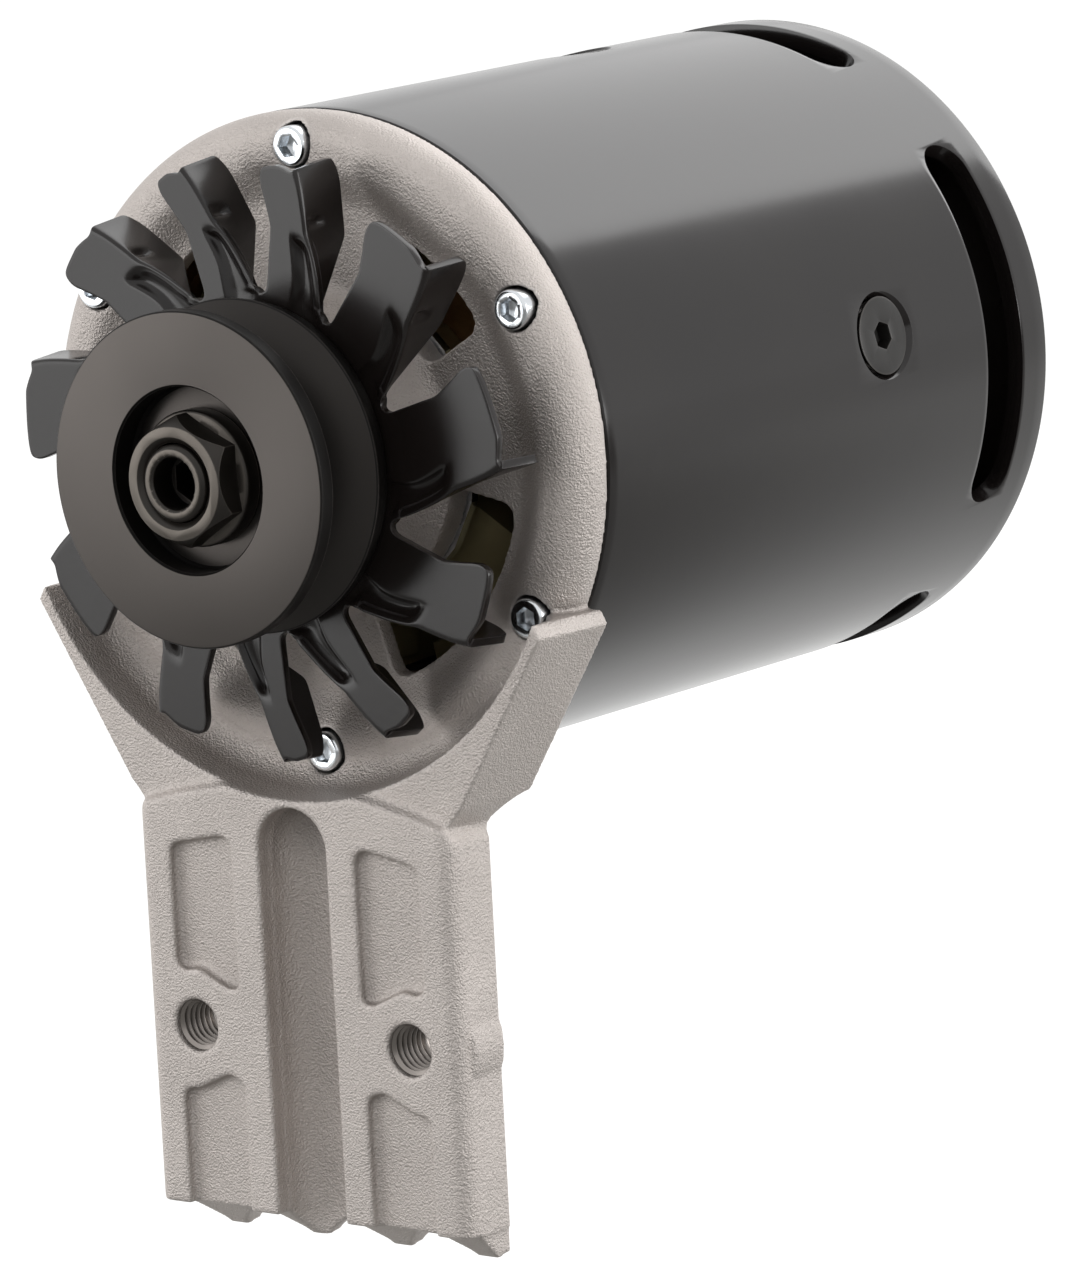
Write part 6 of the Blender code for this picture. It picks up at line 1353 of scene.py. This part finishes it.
@dataclass
class Studio:
    """A white surround, soft lamps above, in front and at the side, and a pale floor."""

    floor_drop: float = 0.16
    floor_size: float = 30.0
    world_strength: float = 0.5
    key_ahead: tuple[float, float, float] = (-0.12, 0.783, 0.61)
    key_distance: float = 1.6
    key_size: float = 1.5
    key_near: float = 3.0
    key_far: float = 0.15
    front_ahead: tuple[float, float, float] = (-0.74, -0.67, 0.03)
    front_distance: float = 1.5
    front_size: float = 1.2
    front_near: float = 3.4
    front_far: float = 0.3
    fill_ahead: tuple[float, float, float] = (0.94, 0.3, 0.05)
    fill_distance: float = 1.6
    fill_size: float = 0.9
    fill_radiance: float = 4.2
    target: tuple[float, float, float] = (0.0, 0.07, 0.11)
    across: tuple[float, float, float] = (1.0, 0.0, -0.25)
    floor_colour: tuple[float, float, float, float] = (0.4, 0.4, 0.39, 1.0)
    glow: float = 0.85
    # Painted reflection: where and how strongly the floor glows in glossy rays.
    painted_reflection_span: Point2 = (0.15, 0.45)
    painted_reflection_near: float = 0.0
    painted_reflection_far: float = 0.75

    def build(self) -> None:
        """Builds the world, the floor and the lamps."""
        self._world()
        self._floor()
        self._lamp("key_softbox", self.key_ahead, self.key_distance, self.key_size, self.key_far,
                   self.key_near)
        self._lamp("front_softbox", self.front_ahead, self.front_distance, self.front_size,
                   self.front_far, self.front_near)
        self._lamp("fill_softbox", self.fill_ahead, self.fill_distance, self.fill_size, self.fill_radiance,
                   self.fill_radiance)

    def _world(self) -> None:
        """White to the camera and in reflections, plain soft light elsewhere."""
        world = bpy.data.worlds.new("studio")
        bpy.context.scene.world = world
        world.use_nodes = True
        graph = Graph(world.node_tree)
        seen = graph.rays("Is Camera Ray", "Is Transmission Ray", "Is Glossy Ray")
        strength = graph.ramp(seen, 0.0, 1.0, self.world_strength, 1.0)
        graph.feed(graph.tree.nodes["Background"], {"Color": WHITE, "Strength": strength})

    def _floor(self) -> None:
        """A wide pale floor under the part, white where it is seen and still shaded by the part; in glossy
        rays it glows with painted reflection light that fades across the floor.
        """
        mesh = bpy.data.meshes.new("floor")
        half = self.floor_size / 2
        mesh.from_pydata([(-half, -half, 0.0), (half, -half, 0.0), (half, half, 0.0), (-half, half, 0.0)], [],
                         [(0, 1, 2, 3)])
        floor = linked("floor", mesh)
        floor.location.z = CAD_BOUNDS[0][2] - self.floor_drop
        shader = Shader("floor_white")
        shader.feed(shader.surface, {"Base Color": self.floor_colour, "Roughness": 0.9,
                                     "Specular IOR Level": 0.0})
        # Painted reflection: the floor's glow in glossy rays fades along this direction.
        along = shader.dot(shader.add("TexCoord").outputs["Object"], (-1.0, 1.0, 0.0))
        fall = shader.ramp(along, *self.painted_reflection_span, self.painted_reflection_near, self.painted_reflection_far,
                           interpolation_type="SMOOTHSTEP")
        seen = shader.add("Math", {0: shader.rays("Is Camera Ray", "Is Transmission Ray"), 1: self.glow},
                          operation="MULTIPLY").outputs["Value"]
        total = shader.add("Math", {0: shader.rays("Is Glossy Ray"), 1: fall, 2: seen},
                           operation="MULTIPLY_ADD")
        glow = shader.add("Emission", {"Strength": total.outputs["Value"]})
        mixed = shader.add("AddShader", {0: shader.surface.outputs["BSDF"], 1: glow.outputs["Emission"]})
        shader.feed(shader.tree.nodes["Material Output"], {"Surface": mixed.outputs["Shader"]})
        mesh.materials.append(shader.material)

    def _lamp(self, name: str, ahead: Sequence[float], distance: float, size: float, left: float,
              right: float) -> None:
        """A square soft lamp aimed at the part, its radiance graded across.

        Args:
            name: The lamp's name.
            ahead: The direction from the part to the lamp.
            distance: How far off it hangs.
            size: Its side.
            left: Its radiance at its left edge.
            right: Its radiance at its right edge.
        """
        target = Vector(self.target)
        place = target + Vector(ahead).normalized() * distance
        data = bpy.data.lights.new(name, "AREA")
        data.size = size
        data.energy = math.pi * size ** 2
        data.use_nodes = True
        toward = (target - place).normalized()
        across = Vector(self.across)
        across = (across - toward * across.dot(toward)).normalized()
        middle = place.dot(across)
        graph = Graph(data.node_tree)
        along = graph.dot(graph.add("NewGeometry").outputs["Position"], across)
        fall = graph.ramp(along, middle - size / 2, middle + size / 2, left, right)
        graph.feed(graph.tree.nodes["Emission"], {"Strength": fall})
        lamp = linked(name, data)
        lamp.location = place
        lamp.rotation_euler = Matrix((across, across.cross(toward), toward * -1.0)).transposed().to_euler()


def main() -> None:
    """Builds the classes in order and reports each piece."""
    logging.basicConfig(level=logging.INFO, format="%(name)s: %(message)s")
    bpy.context.scene.view_settings.view_transform = "Standard"
    LOG.info("camera %s", PhotoCamera().build().name)
    Studio().build()
    LOG.info("dressed %d nodes", dress_nodes())
    for part in (CastBracket(), CaseTube(), RimScrews(), FoldedFan(), GroovedPulley(), NutAndShaft()):
        part.build()


if __name__ == "__main__":
    main()
